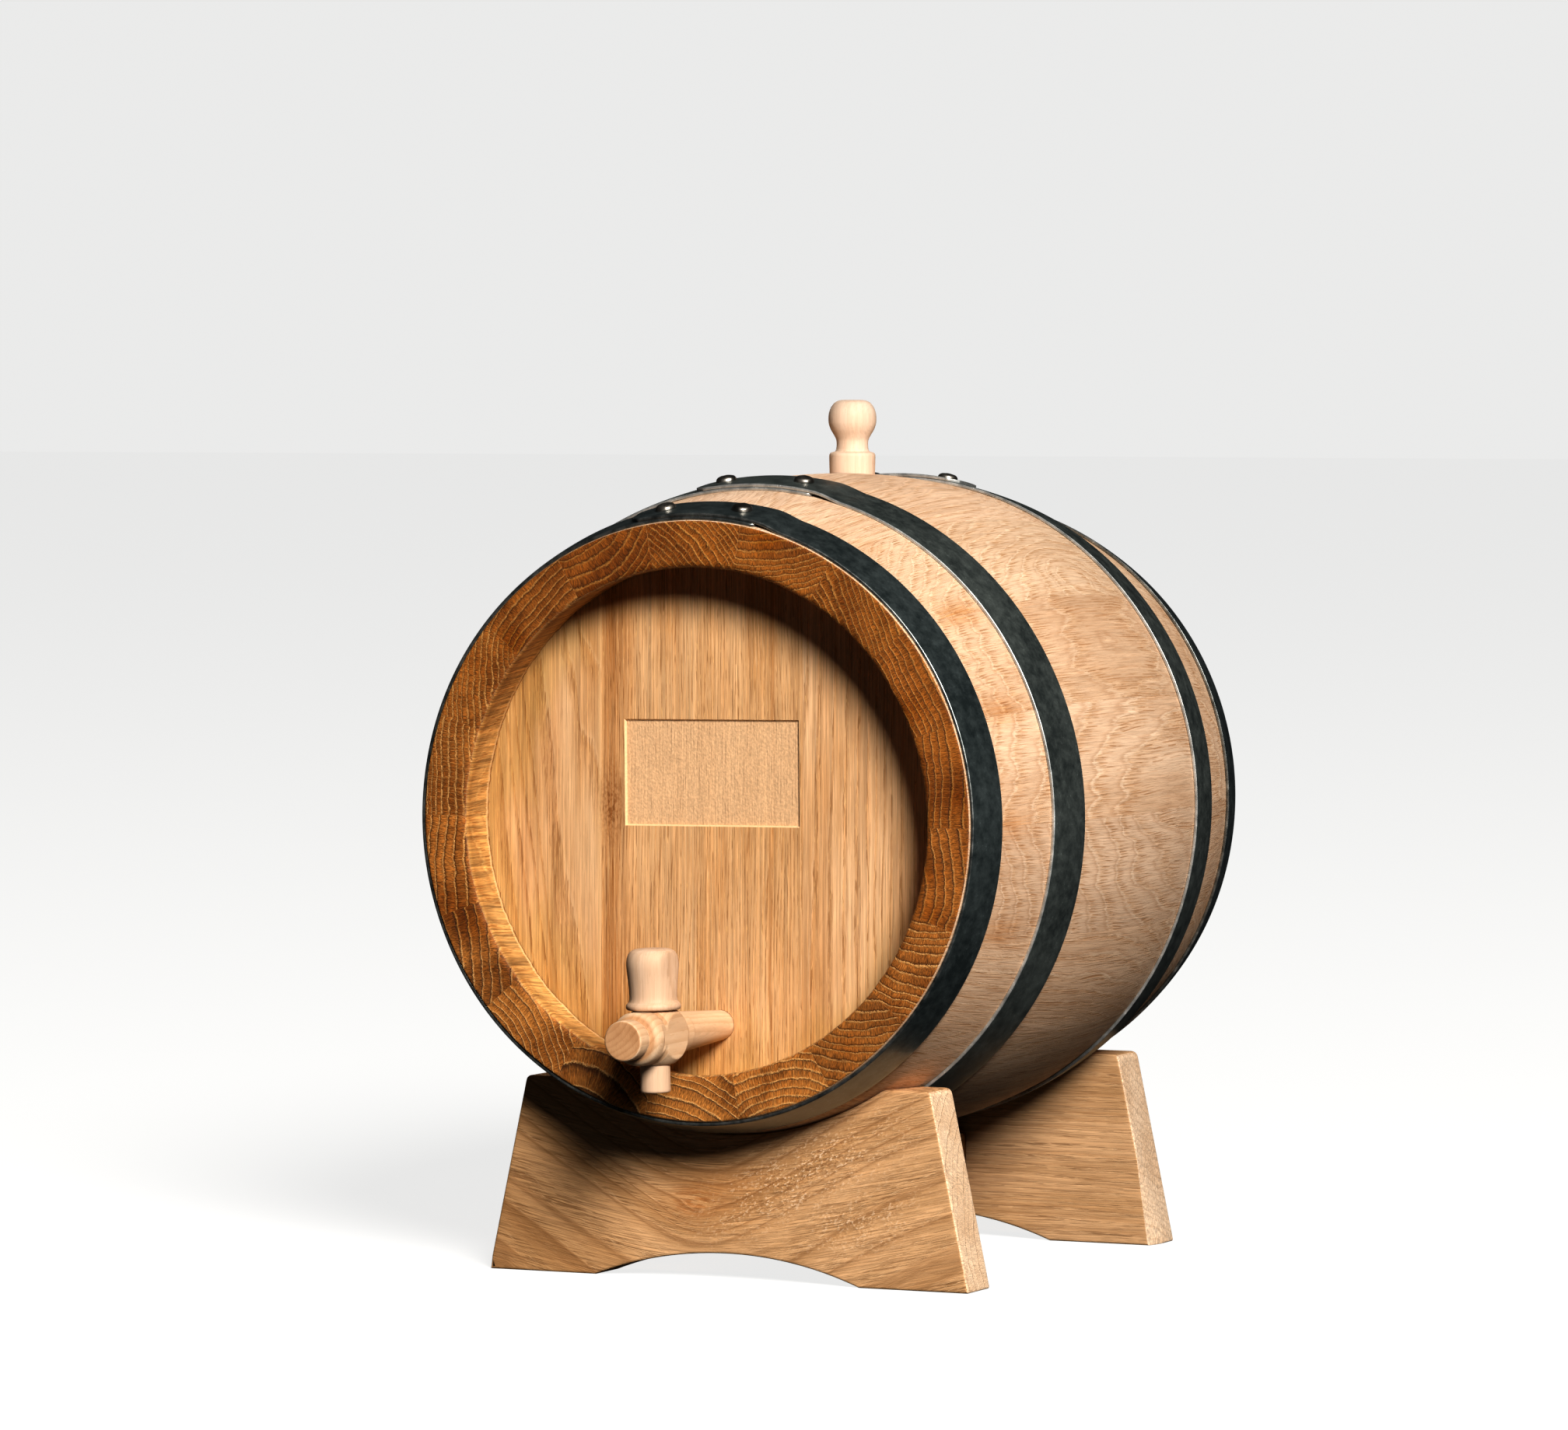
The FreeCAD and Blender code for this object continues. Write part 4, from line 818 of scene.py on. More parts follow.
def stave(number):
    mid = math.radians(20.0 * (number - 1))
    half = math.radians(10.0) - 0.0001
    b = 0.035
    n_pts = len(STAVE)
    cols = []
    # from one edge to the other: the edge eased, then the full profile, then eased again
    for frac, drop in ((0.0, 1.0), (0.3, 0.3), (1.0, 0.0)):
        cols.append(("e", frac, drop))
    inner = np.linspace(-half, half, 25)[1:-1]
    rows = []
    for kind, frac, drop in cols:
        rows.append((-half, frac * b, drop * b))
    rows += [(float(a), 0.0, 0.0) for a in inner]
    for kind, frac, drop in reversed(cols):
        rows.append((half, -frac * b, drop * b))
    verts = []
    for ang, shift, drop in rows:
        p = STAVE - STAVE_N * drop
        y, r = p[:, 0], p[:, 1]
        a = mid + ang + shift / r
        at = math.degrees(mid + ang)
        near_front, near_rear = y < 22.3, y > LENGTH - 22.3
        for near, depth in ((near_front, y), (near_rear, LENGTH - y)):
            wall = near & (r < 88.0)
            torn = np.clip((depth - 18.5) / 2.5, 0, 1) * (0.22 + 0.22 * wobble(at * 1.9 + depth * 0.7, 3))
            dent = 0.10 * wobble(at * 0.7 + depth * 0.05, 5) + 0.06 * wobble(at * 2.3 + depth * 0.2, 6)
            r = np.where(wall, r + dent - torn, r)
        verts.append(np.stack([r * np.sin(a), y, r * np.cos(a)], 1))
    m = len(rows)
    verts = np.concatenate(verts) + TO_ROW
    faces = []
    for i in range(m - 1):
        for j in range(n_pts):
            k = (j + 1) % n_pts
            faces.append((i * n_pts + j, (i + 1) * n_pts + j, (i + 1) * n_pts + k, i * n_pts + k))
    faces.append(tuple(range(n_pts)))
    faces.append(tuple(reversed(range((m - 1) * n_pts, m * n_pts))))
    obj = build("oak_stave_%02d" % number, verts, faces, "cask", "stave_%02d" % number, M_STAVE)
    outward(obj)
    if number == 1:
        hole = []
        for r, z in ((0, 90.0), (7.15, 90.0), (7.95, 114.4), (8.35, 115.0), (9.2, 116.2), (9.2, 119.0), (0, 119.0)):
            hole.append((r, z))
        hv, hf = turned(hole, 72)
        carve(obj, [(hv + np.array([0, 129.0, 0]) + TO_ROW, hf)])
    t0, r0, spacing = STAVE_LOG[number]
    out_dir = np.array([math.sin(mid), 0, math.cos(mid)])
    side_dir = np.array([math.cos(mid), 0, -math.sin(mid)])
    tilt = wobble(number * 1.37, 3) * 0.018
    grain = unit(np.array([0, 1.0, 0]) + side_dir * tilt + out_dir * wobble(number * 2.1, 5) * 0.010)
    origin = out_dir * 92.1 + TO_ROW

    def oil(fc, fn):
        y = fc[:, 1] - FACE_Y
        r = np.hypot(fc[:, 0], fc[:, 2] - AXIS_Z)
        front = (y < 22.3) & (r < outside(np.clip(y, 0, LENGTH)) - 0.25)
        rear = (y > LENGTH - 22.3) & (r < outside(np.clip(y, 0, LENGTH)) - 0.25)
        return np.where(front | rear, 1.0, 0.0)

    def ink(p):
        a = np.degrees(np.arctan2(p[:, 0], p[:, 2] - AXIS_Z)) % 360
        r = np.hypot(p[:, 0], p[:, 2] - AXIS_Z)
        out = np.full(len(p), STAVE_INK[number])
        for at, radius, size, strong in CHIME_MARKS:
            da = np.radians((a - at + 180) % 360 - 180) * r
            out += strong * np.exp(-((da / size) ** 2 + ((r - radius) / size) ** 2))
        return np.clip(out, 0, 1)

    def stain(fc, fn):
        y = fc[:, 1] - FACE_Y
        r = np.hypot(fc[:, 0], fc[:, 2] - AXIS_Z)
        a = np.arctan2(fc[:, 0], fc[:, 2] - AXIS_Z) - mid
        a = (a + np.pi) % (2 * np.pi) - np.pi
        t = a * r
        on_side = r > outside(np.clip(y, 0, LENGTH)) - 0.2
        out = np.zeros(len(y))
        for side, where in ((-1, number), (1, number % 18 + 1)):
            for end in (0, 1):
                yy = y if end == 0 else LENGTH - y
                k = where * 2 + end * 41
                wide, long = 2.5 + 2.5 * abs(wobble(k, 9)), 8.0
                strong = max(0.0, wobble(k * 1.7, 2)) * 0.8 + 0.10
                d = np.abs(t - side * (np.radians(10) * r))
                yc = 21 + 9 * wobble(k, 4)
                owner = number if side == 1 else (number - 2) % 18 + 1
                if end == 0 and owner in SEEP:
                    (yc, strong), wide, long = SEEP[owner], 5.5, 12.0
                    if side == -1:
                        strong, wide = strong * 0.8, 3.8
                out += strong * np.exp(-(d / wide) ** 2) * np.exp(-((yy - yc) / long) ** 2)
        return np.where(on_side, np.clip(out, 0, 0.8), 0.0)

    # rings swell here and there along the outside, and one stave has a small knot
    knots = []
    for k in range(5):
        y = 60.0 + 40.0 * k + 16.0 * float(wobble(number * 3.1 + k * 1.7, 6)) - 20.0
        t = 9.0 * float(wobble(number * 1.9 + k * 2.3, 7))
        a = mid + t / 112.0
        push = 1.9 * float(wobble(number * 5.3 + k * 0.9, 8))
        knots.append((np.array([112.0 * math.sin(a), y, 112.0 * math.cos(a)]) + TO_ROW, np.array([11.0, 15.0, 11.0]), push))
    if number == 3:
        a = math.radians(44.0)
        knots.append((np.array([114.0 * math.sin(a), 128.0, 114.0 * math.cos(a)]) + TO_ROW, np.array([9.0, 22.0, 9.0]), 7.5))
    timber(obj, origin, side_dir, out_dir, grain, (t0, r0), spacing, number * 1.31, oil=oil, tint=STAVE_TINT[number],
           stain=stain, rays=STAVE_RAYS.get(number, 0.25), ink=ink, lean=STAVE_LEAN[number], knots=knots)
    weighted(obj)
    return obj


for number in range(1, 19):
    stave(number)


# ------------------------------------------------------------------- heads
def board_outline(radius, x0, x1, step=1.2, inset=0.0):
    """Closed outline, in (x, z), of the part of a disc between two vertical joints."""
    r = radius - inset
    lo, hi = max(x0 + inset, -r), min(x1 - inset, r)
    pts = []
    n = 48

    def arc(xa, xb, sign):
        ta, tb = math.asin(max(-1, min(1, xa / r))), math.asin(max(-1, min(1, xb / r)))
        return [(r * math.sin(t), sign * r * math.cos(t)) for t in np.linspace(ta, tb, n)]
    top = arc(lo, hi, 1)
    low = arc(hi, lo, -1)
    if abs(hi - r) < 1e-6:
        low = low[1:]
    else:
        za, zb = top[-1][1], low[0][1]
        k = 30
        top += [(hi, za + (zb - za) * t) for t in np.linspace(0, 1, k + 2)[1:-1]]
    if abs(lo + r) < 1e-6:
        low = low[:-1]
    else:
        za, zb = low[-1][1], top[0][1]
        low += [(lo, za + (zb - za) * t) for t in np.linspace(0, 1, 32)[1:-1]]
    return np.array(top + low)


def board_mesh(x0, x1):
    """Sections from the outer face to the inner face of a head board, cask frame."""
    g = 0.003
    x0, x1 = x0 + g, x1 - g
    sections = [
        (22.2, 90.3, 0.14), (22.24, 90.3, 0.04), (22.34, 90.3, 0.0),
        (28.2, 90.3, 0.0), (28.2, 88.35, 0.0), (33.0, 82.4, 0.0), (33.12, 82.0, 0.04), (33.2, 81.8, 0.12)]
    rings = [np.column_stack([o[:, 0], np.full(len(o), y), o[:, 1]])
             for y, r, inset in sections for o in [board_outline(r, x0, x1, inset=inset)]]
    n = len(rings[0])
    verts = np.concatenate(rings)
    faces = ring_faces(len(rings), n)
    faces.append(tuple(range(n)))
    faces.append(tuple(reversed(range((len(rings) - 1) * n, len(rings) * n))))
    return verts, faces


JOINTS = [-95.0, -44.5, -9.0, 30.0, 95.0]
# where each board's log centre lies from the board's middle (across, behind the face), ring
# width, lean of the grain
BOARD_LOG = {
    1: ((38.0, -34.0), 5.0, math.radians(-7.0), -0.10), 2: ((-150.0, 30.0), 1.25, math.radians(0.5), 0.0),
    3: ((-170.0, 18.0), 1.15, math.radians(-0.4), 0.0), 4: ((-70.0, 46.0), 2.9, math.radians(-0.6), -0.02)}


def head_extra(N, col, o, stain, isend):
    """Bands of darker wood that run the height of the head, oil near its rim, and the stippled
    floor of the sunk panel."""
    tc = N.new("ShaderNodeTexCoord").outputs["Object"]
    x, y, z = N.xyz(tc)
    drift = N.mul(N.math("SUBTRACT", N.noise(N.mul(z, 14.0), dims="1D", detail=1.0)[0], 0.5), 0.004)
    xx = N.math("ADD", x, drift)
    thin = N.noise(N.join(N.mul(x, 2600.0), 0.0, N.mul(z, 34.0)), detail=2.0, rough=0.6)[0]
    combed = N.math("ADD", 0.45, N.mul(N.step(thin, 0.42, 0.58), 0.75))
    for at, wide, strong in ((-0.0405, 0.0036, 0.75), (-0.0345, 0.0030, 0.30), (0.0015, 0.0020, 0.34), (0.0188, 0.0007, 0.60),
                             (-0.0165, 0.0016, 0.22), (0.0100, 0.0012, 0.22), (0.052, 0.0026, 0.22), (-0.0620, 0.0026, 0.30),
                             (-0.0740, 0.0022, 0.26), (0.0268, 0.0020, 0.22), (0.0385, 0.0014, 0.26)):
        d = N.math("DIVIDE", N.math("SUBTRACT", xx, at), wide)
        g = N.math("POWER", 2.718, N.mul(N.mul(d, d), -1.0))
        col = N.mix(N.mul(g, strong, combed), col, N.vec("MULTIPLY", col, (0.66, 0.50, 0.32)))
    # a pale line at the left joint
    d = N.math("DIVIDE", N.math("SUBTRACT", x, -0.0450), 0.0008)
    col = N.mix(N.mul(N.math("POWER", 2.718, N.mul(N.mul(d, d), -1.0)), 0.45), col, srgb(236, 186, 128))
    # a darker knotty patch just right of the left joint
    dx = N.math("DIVIDE", N.math("SUBTRACT", x, -0.0405), 0.0036)
    dz = N.math("DIVIDE", N.math("SUBTRACT", z, 0.160), 0.0120)
    spot = N.math("POWER", 2.718, N.mul(N.math("ADD", N.mul(dx, dx), N.mul(dz, dz)), -1.0))
    grit = N.step(N.noise(N.vec("MULTIPLY", tc, (1.5, 1.0, 0.8)), scale=900.0, detail=2.0)[0], 0.45, 0.60)
    col = N.mix(N.mul(spot, N.math("ADD", 0.35, N.mul(grit, 0.6))), col, N.vec("MULTIPLY", col, (0.46, 0.32, 0.18)))
    # gold where oil has run in from the chime
    dz = N.math("SUBTRACT", z, AXIS_Z / 1000)
    r = N.math("SQRT", N.math("ADD", N.mul(x, x), N.mul(dz, dz)))
    patch = N.noise(N.join(N.mul(x, 60.0), 0.0, N.mul(z, 22.0)), detail=2.0)[0]
    rim = N.step(N.math("ADD", r, N.mul(N.math("SUBTRACT", patch, 0.5), 0.045)), 0.062, 0.088)
    side = N.math("MAXIMUM", N.step(x, -0.020, -0.070), N.step(dz, -0.020, -0.062))
    col = N.mix(N.mul(rim, N.math("ADD", 0.20, N.mul(side, 0.75))), col, N.vec("MULTIPLY", col, (0.80, 0.80, 0.60)))
    # the panel's floor and walls are freshly cut, paler, with fine scratches
    panel = N.step(N.mul(stain, -1.0), 0.4, 0.6)
    wall = N.step(N.mul(stain, -1.0), 1.4, 1.6)
    dots = N.noise(N.vec("MULTIPLY", tc, (1.0, 1.0, 0.75)), scale=1500.0, detail=2.0)[0]
    scratch = N.noise(N.join(N.mul(x, 2400.0), 0.0, N.mul(z, 70.0)), detail=2.0)[0]
    floor = N.mix(0.72, col, srgb(216, 172, 128))
    floor = N.vec("SCALE", floor, scale=N.span(N.math("ADD", N.mul(dots, 0.7), N.mul(scratch, 0.3)), 0.35, 0.65, 0.86, 1.12))
    floor = N.mix(wall, floor, srgb(228, 188, 138))
    col = N.mix(panel, col, floor)
    return col, N.mul(panel, N.add(N.mul(dots, 1.6), N.mul(scratch, 0.8)))


M_HEAD_FRONT = oak("head_wood_front", HEAD_SIDE, CHIME_END, late=0.35, pore=0.36, dash=0.58, ray=0.12, streak=0.24, line=0.50,
                   band=0.55, fibre=0.14, fleck_and_glint=0.45, clump=0.75, extra=head_extra)


def stippled(obj, y, seed):
    """Cuts the panel's floor into small faces and gives it the unevenness of a carved ground."""
    bm = bmesh.new()
    bm.from_mesh(obj.data)
    floor = [f for f in bm.faces if abs(f.calc_center_median().y - y) < 2e-5 and abs(f.normal.y) > 0.99]
    lo = [min(v.co[i] for f in floor for v in f.verts) for i in (0, 2)]
    hi = [max(v.co[i] for f in floor for v in f.verts) for i in (0, 2)]
    outer = {tuple(round(c, 7) for c in v.co) for f in floor for v in f.verts}
    for axis, a, b in ((0, lo[0], hi[0]), (2, lo[1], hi[1])):
        no = (1, 0, 0) if axis == 0 else (0, 0, 1)
        for c in np.arange(a + 0.00041, b - 0.0002, 0.00078):
            co = (c, 0, 0) if axis == 0 else (0, 0, c)
            geom = set(floor) | {e for f in floor for e in f.edges} | {v for f in floor for v in f.verts}
            out = bmesh.ops.bisect_plane(bm, geom=list(geom), plane_co=co, plane_no=no, dist=1e-8)
            floor = [f for f in out["geom"] if isinstance(f, bmesh.types.BMFace)]
    inner = set()
    keep = set(floor)
    for f in floor:
        for v in f.verts:
            if all(g in keep for g in v.link_faces):
                inner.add(v)
    for v in inner:
        px, pz = v.co.x * 1000, v.co.z * 1000
        n = math.sin(px * 12.9898 + pz * 78.233 + seed) * 43758.5453
        n = (n - math.floor(n)) * 2 - 1
        v.co.y += 1e-5 * (4.0 * n + 3.0 * float(wobble(px * 0.9 + 3.1 * float(wobble(pz * 0.12, 2)), 4)))
    for e in bm.edges:
        if len(e.link_faces) == 2 and e.calc_face_angle(0.0) > 0.5:
            e.smooth = False
    bm.to_mesh(obj.data)
    bm.free()


def head(end):
    for number in range(1, 5):
        verts, faces = board_mesh(JOINTS[number - 1], JOINTS[number])
        verts = verts.copy()
        (t0, r0), spacing, lean, tip = BOARD_LOG[number]
        mid_x = (max(JOINTS[number - 1], -90) + min(JOINTS[number], 90)) / 2
        name = "%s_board_%d" % (end, number)
        cad = "%s_head_board_%d" % (end, number)
        turn = np.array([1.0, 1.0, 1.0])
        place = TO_ROW
        if end == "rear":
            turn = np.array([-1.0, -1.0, 1.0])
            place = TO_ROW + np.array([0, LENGTH, 0])
        obj = build(name, verts * turn + place, faces, "cask", cad, M_HEAD_FRONT if end == "front" else M_HEAD)
        outward(obj)
        cutters = []
        if end == "front":
            if number in (2, 3):
                # the sunk panel, its walls leaning a little
                tilt = math.radians(0.7)
                cx, cz = (-35.3 + 28.4) / 2, (-2.3 + 32.7) / 2
                hw, hh = 63.7 / 2, 35.0 / 2
                pts = []
                for y, grow in ((21.2, 0.95), (23.2, 0.0)):
                    for sx, sz in ((-1, -1), (1, -1), (1, 1), (-1, 1)):
                        u, v = sx * (hw + grow), sz * (hh + grow)
                        pts.append((cx + u * math.cos(tilt) - v * math.sin(tilt), y, cz + u * math.sin(tilt) + v * math.cos(tilt)))
                cutters.append((np.array(pts) + TO_ROW, [(0, 1, 2, 3), (7, 6, 5, 4), (0, 4, 5, 1), (1, 5, 6, 2), (2, 6, 7, 3), (3, 7, 4, 0)]))
            if number == 3:
                cv, cf = turned([(0, 21.0), (5.2, 21.0), (5.08, 22.2), (4.97, 22.55), (4.25, 33.2), (4.2, 34.5), (0, 34.5)], 64)
                cv = np.stack([cv[:, 0], cv[:, 2], -cv[:, 1]], 1) + np.array([0, 0, -69.3])
                cutters.append((cv + TO_ROW, cf))
        if cutters:
            carve(obj, cutters)
        floor_y = FACE_Y + 23.2
        if end == "front" and number in (2, 3):
            stippled(obj, floor_y / 1000, number)

        def panel(fc, fn, end=end):
            near = (np.abs(fc[:, 0] + 3.4) < 34) & (np.abs(fc[:, 2] - AXIS_Z - 15.2) < 19.5) & (end == "front")
            inside = near & (np.abs(fc[:, 1] - floor_y) < 0.2) & (fn[:, 1] < -0.8)
            walls = near & (fc[:, 1] > FACE_Y + 22.36) & (fc[:, 1] < floor_y - 0.02) & (np.abs(fn[:, 1]) < 0.8) & (np.abs(fn[:, 1]) > 0.1)
            return np.where(inside, -1.0, np.where(walls, -2.0, 0.0))
        origin = np.array([mid_x, 27.0, 0.0]) * turn + place
        grain = unit([math.sin(lean) * turn[0], 0, math.cos(lean)])
        seed = number * 2.17 + (0 if end == "front" else 9.3)
        timber(obj, origin, (turn[0], 0, 0), (0, -turn[1], 0), grain, (t0, -r0), spacing, seed, oil=0.0,
               tint=((0.94, 0.94, 0.94), (0.96, 0.94, 0.90), (0.98, 0.97, 0.94), (1.02, 1.03, 1.07))[number - 1], stain=panel,
               lean=tip * turn[0], along=118.0)
        weighted(obj)


head("front")
head("rear")


# ------------------------------------------------------------------- hoops
def strip_section(width, thick, rc=0.40):
    """Points round a strip's section: (across 0..width, height 0..thick, edge?)."""
    pts = []
    for u in np.linspace(width - rc, rc, 6):
        pts.append((u, 0.0, 0))
    for t in np.radians((240, 210, 180, 150, 120)):
        pts.append((rc + rc * math.cos(t), rc + (thick - 2 * rc) * (math.sin(t) > 0) + rc * math.sin(t), 1))
    for u in np.linspace(rc, width - rc, 11):
        crown = 0.10 * (1 - ((2 * u - width) / (width - 2 * rc)) ** 4)
        pts.append((u, thick + crown, 0))
    for t in np.radians((60, 30, 0, -30, -60)):
        pts.append((width - rc + rc * math.cos(t), rc + (thick - 2 * rc) * (math.sin(t) > 0) + rc * math.sin(t), 1))
    return np.array(pts)


def hoop(name, cad, y0, y1, end_angle, tail_angle, seed, rear=False):
    """One strip: its upper end lies over its lower end, held by two rivets at the top."""
    thick, ramp, clip = 1.2, 6.0, 3.6
    width = y1 - y0
    sec = strip_section(width, thick)
    a = [-end_angle]
    while a[-1] < 360 + tail_angle - 1e-6:
        here = a[-1]
        fine = here < tail_angle + ramp + 1 or here > 360 - end_angle - 2
        a.append(min(here + (0.35 if fine else 1.5), 360 + tail_angle))
    angles = np.array(a)
    verts = []
    for ang in angles:
        lift = 0.02
        if ang < tail_angle + 0.3:
            lift = thick + 0.05
        elif ang < tail_angle + 0.3 + ramp:
            lift = 0.02 + (thick + 0.03) * float(1 - smooth01((ang - tail_angle - 0.3) / ramp))
        elif ang < 360 - end_angle - 3:
            lift = 0.02 + 0.05 * (1 + float(wobble(ang * 0.06, seed)))
        s_from = (ang + end_angle) * math.pi / 180 * 103
        s_to = (360 + tail_angle - ang) * math.pi / 180 * 103
        cut = max(0.0, clip - s_from) * 0.9 if s_from < clip else 0.0
        cut = max(cut, (max(0.0, 1.2 - s_to)) * 0.8)
        sway = 0.12 * float(wobble(ang * 0.05, seed + 2))
        k = (width - 2 * cut) / width
        y = y0 + cut + sec[:, 0] * k + sway
        r = outside(np.clip(y, 0, LENGTH)) + lift + sec[:, 1]
        t = math.radians(ang)
        verts.append(np.stack([r * math.sin(t), y, r * math.cos(t)], 1))
    verts = np.concatenate(verts)
    n, m = len(sec), len(angles)
    faces = ring_faces(m, n)
    faces.append(tuple(reversed(range(n))))
    faces.append(tuple(range((m - 1) * n, m * n)))
    edge = sec[:, 2].astype(int)
    fm = []
    for i in range(m - 1):
        for j in range(n):
            fm.append(1 if edge[j] and edge[(j + 1) % n] else 0)
    fm += [1, 1]
    if rear:
        verts = verts * np.array([-1, -1, 1]) + np.array([0, LENGTH, 0])
    obj = build(name, verts + TO_ROW, faces, "cask", cad, [M_HOOP_2, M_LIP] if "quarter" in name else [M_HOOP, M_LIP_2], fm)
    outward(obj)
    weighted(obj)
    return obj


hoop("head_hoop_front", "front_head_hoop", 0.8, 16.6, 13.7, 12.5, 1)
hoop("quarter_hoop_front", "front_quarter_hoop", 47.0, 67.3, 11.5, 11.2, 2)
hoop("quarter_hoop_rear", "rear_quarter_hoop", 47.0, 67.3, 11.5, 11.2, 3, rear=True)
hoop("head_hoop_rear", "rear_head_hoop", 0.8, 16.6, 13.5, 12.5, 4, rear=True)


def rivets():
    verts, faces = [], []
    for y0, y1, ang, rear in ((0.8, 16.6, 7.7, 0), (47.0, 67.3, 7.3, 0), (47.0, 67.3, 7.3, 1), (0.8, 16.6, 7.7, 1)):
        y = (y0 + y1) / 2
        slope = math.asin((LENGTH / 2 - y) / BILGE)
        for side in (-1, 1):
            k = len(verts)
            dome = 2.25 + 0.12 * float(wobble(k, 3))
            prof = [(0, -2.1), (1.55, -2.1), (1.55, 0.0), (3.35, 0.0), (3.5, 0.12), (3.46, 0.35)]
            for t in np.linspace(0.16, 1.0, 12)[:-1]:
                prof.append((3.46 * math.cos(t * math.pi / 2) ** 0.86, 0.35 + (dome - 0.35) * math.sin(t * math.pi / 2)))
            prof.append((0, dome))
            phase = float(wobble(k, 8)) * 3

            def squash(r, a, h, phase=phase, seed=k):
                return r * (1 + 0.018 * np.cos(2 * a + phase) + 0.012 * np.cos(5 * a + seed)) if h > 0.2 else r
            v, f = turned(prof, 40, squash)
            # a flatter, hammered crown
            top = np.clip((v[:, 2] - dome * 0.72) / (dome * 0.28), 0, 1)
            v[:, 2] -= 0.16 * top * (1 + 0.5 * np.sin(v[:, 0] * 1.9 + k) * np.cos(v[:, 1] * 2.3))
            a = math.radians(side * ang)
            rot = Matrix.Rotation(a, 3, "Y") @ Matrix.Rotation(slope, 3, "X")
            v = v @ np.array(rot).T
            reach = float(outside(y)) + 2.46
            v = v + np.array([reach * math.sin(a), y, reach * math.cos(a)])
            if rear:
                v = v * np.array([-1, -1, 1]) + np.array([0, LENGTH, 0])
            base = sum(len(x) for x in verts)
            verts.append(v)
            faces += [tuple(base + i for i in q) for q in f]
    obj = build("domed_rivets", np.concatenate(verts) + TO_ROW, faces, "cask", "hoop_rivets", M_RIVET)
    outward(obj)


rivets()


# -------------------------------------------------------------------- bung
def bung():
    prof = [(0, -17.5), (6.0, -17.5), (6.5, -17.35), (6.72, -16.9), (7.15, -12), (7.52, -5), (7.87, 0), (7.98, 3.6), (8.02, 5.9),
            (7.97, 6.45), (7.8, 6.9), (7.45, 7.2), (6.9, 7.38), (6.3, 7.5), (6.0, 7.62), (5.86, 7.85), (5.82, 8.05), (5.66, 8.2), (5.58, 8.5)]
    prof += eased([(5.58, 8.5), (5.46, 9.6), (5.46, 10.6), (5.66, 11.8), (6.4, 13.3), (7.45, 15.1), (8.14, 17.0), (8.32, 18.8),
                   (8.2, 20.6), (7.75, 22.2), (7.0, 23.6), (5.9, 24.75), (4.6, 25.3)], 5)[1:]
    prof += [(3.6, 25.47), (2.0, 25.5), (0, 25.5)]
    v, f = turned(prof, 112)
    place = np.array([0, 129.0, float(outside(129.0))]) + TO_ROW
    obj = build("turned_bung", v + place, f, "bung", "bung", M_BUNG)
    outward(obj)
    timber(obj, place, (1, 0, 0), (0, 1, 0), unit([0.05, 0.02, 1]), (26.0, 12.0), 2.6, 4.4, smooth_cut=True)
    weighted(obj)


bung()


# --------------------------------------------------------------------- tap
LEAN = Matrix.Rotation(math.radians(-1.7), 3, "Y")


def in_tap(v, dy=0.0):
    """From the tap's own frame (its axis along +Y) to the row frame."""
    return (np.asarray(v, float) + np.array([0, dy, 0])) @ np.array(LEAN).T + np.array([0, FACE_Y, AXIS_Z - 69.3])


def soft_min(a, b, k):
    h = np.clip(0.5 + 0.5 * (b - a) / k, 0, 1)
    return b * (1 - h) + a * h - k * h * (1 - h)


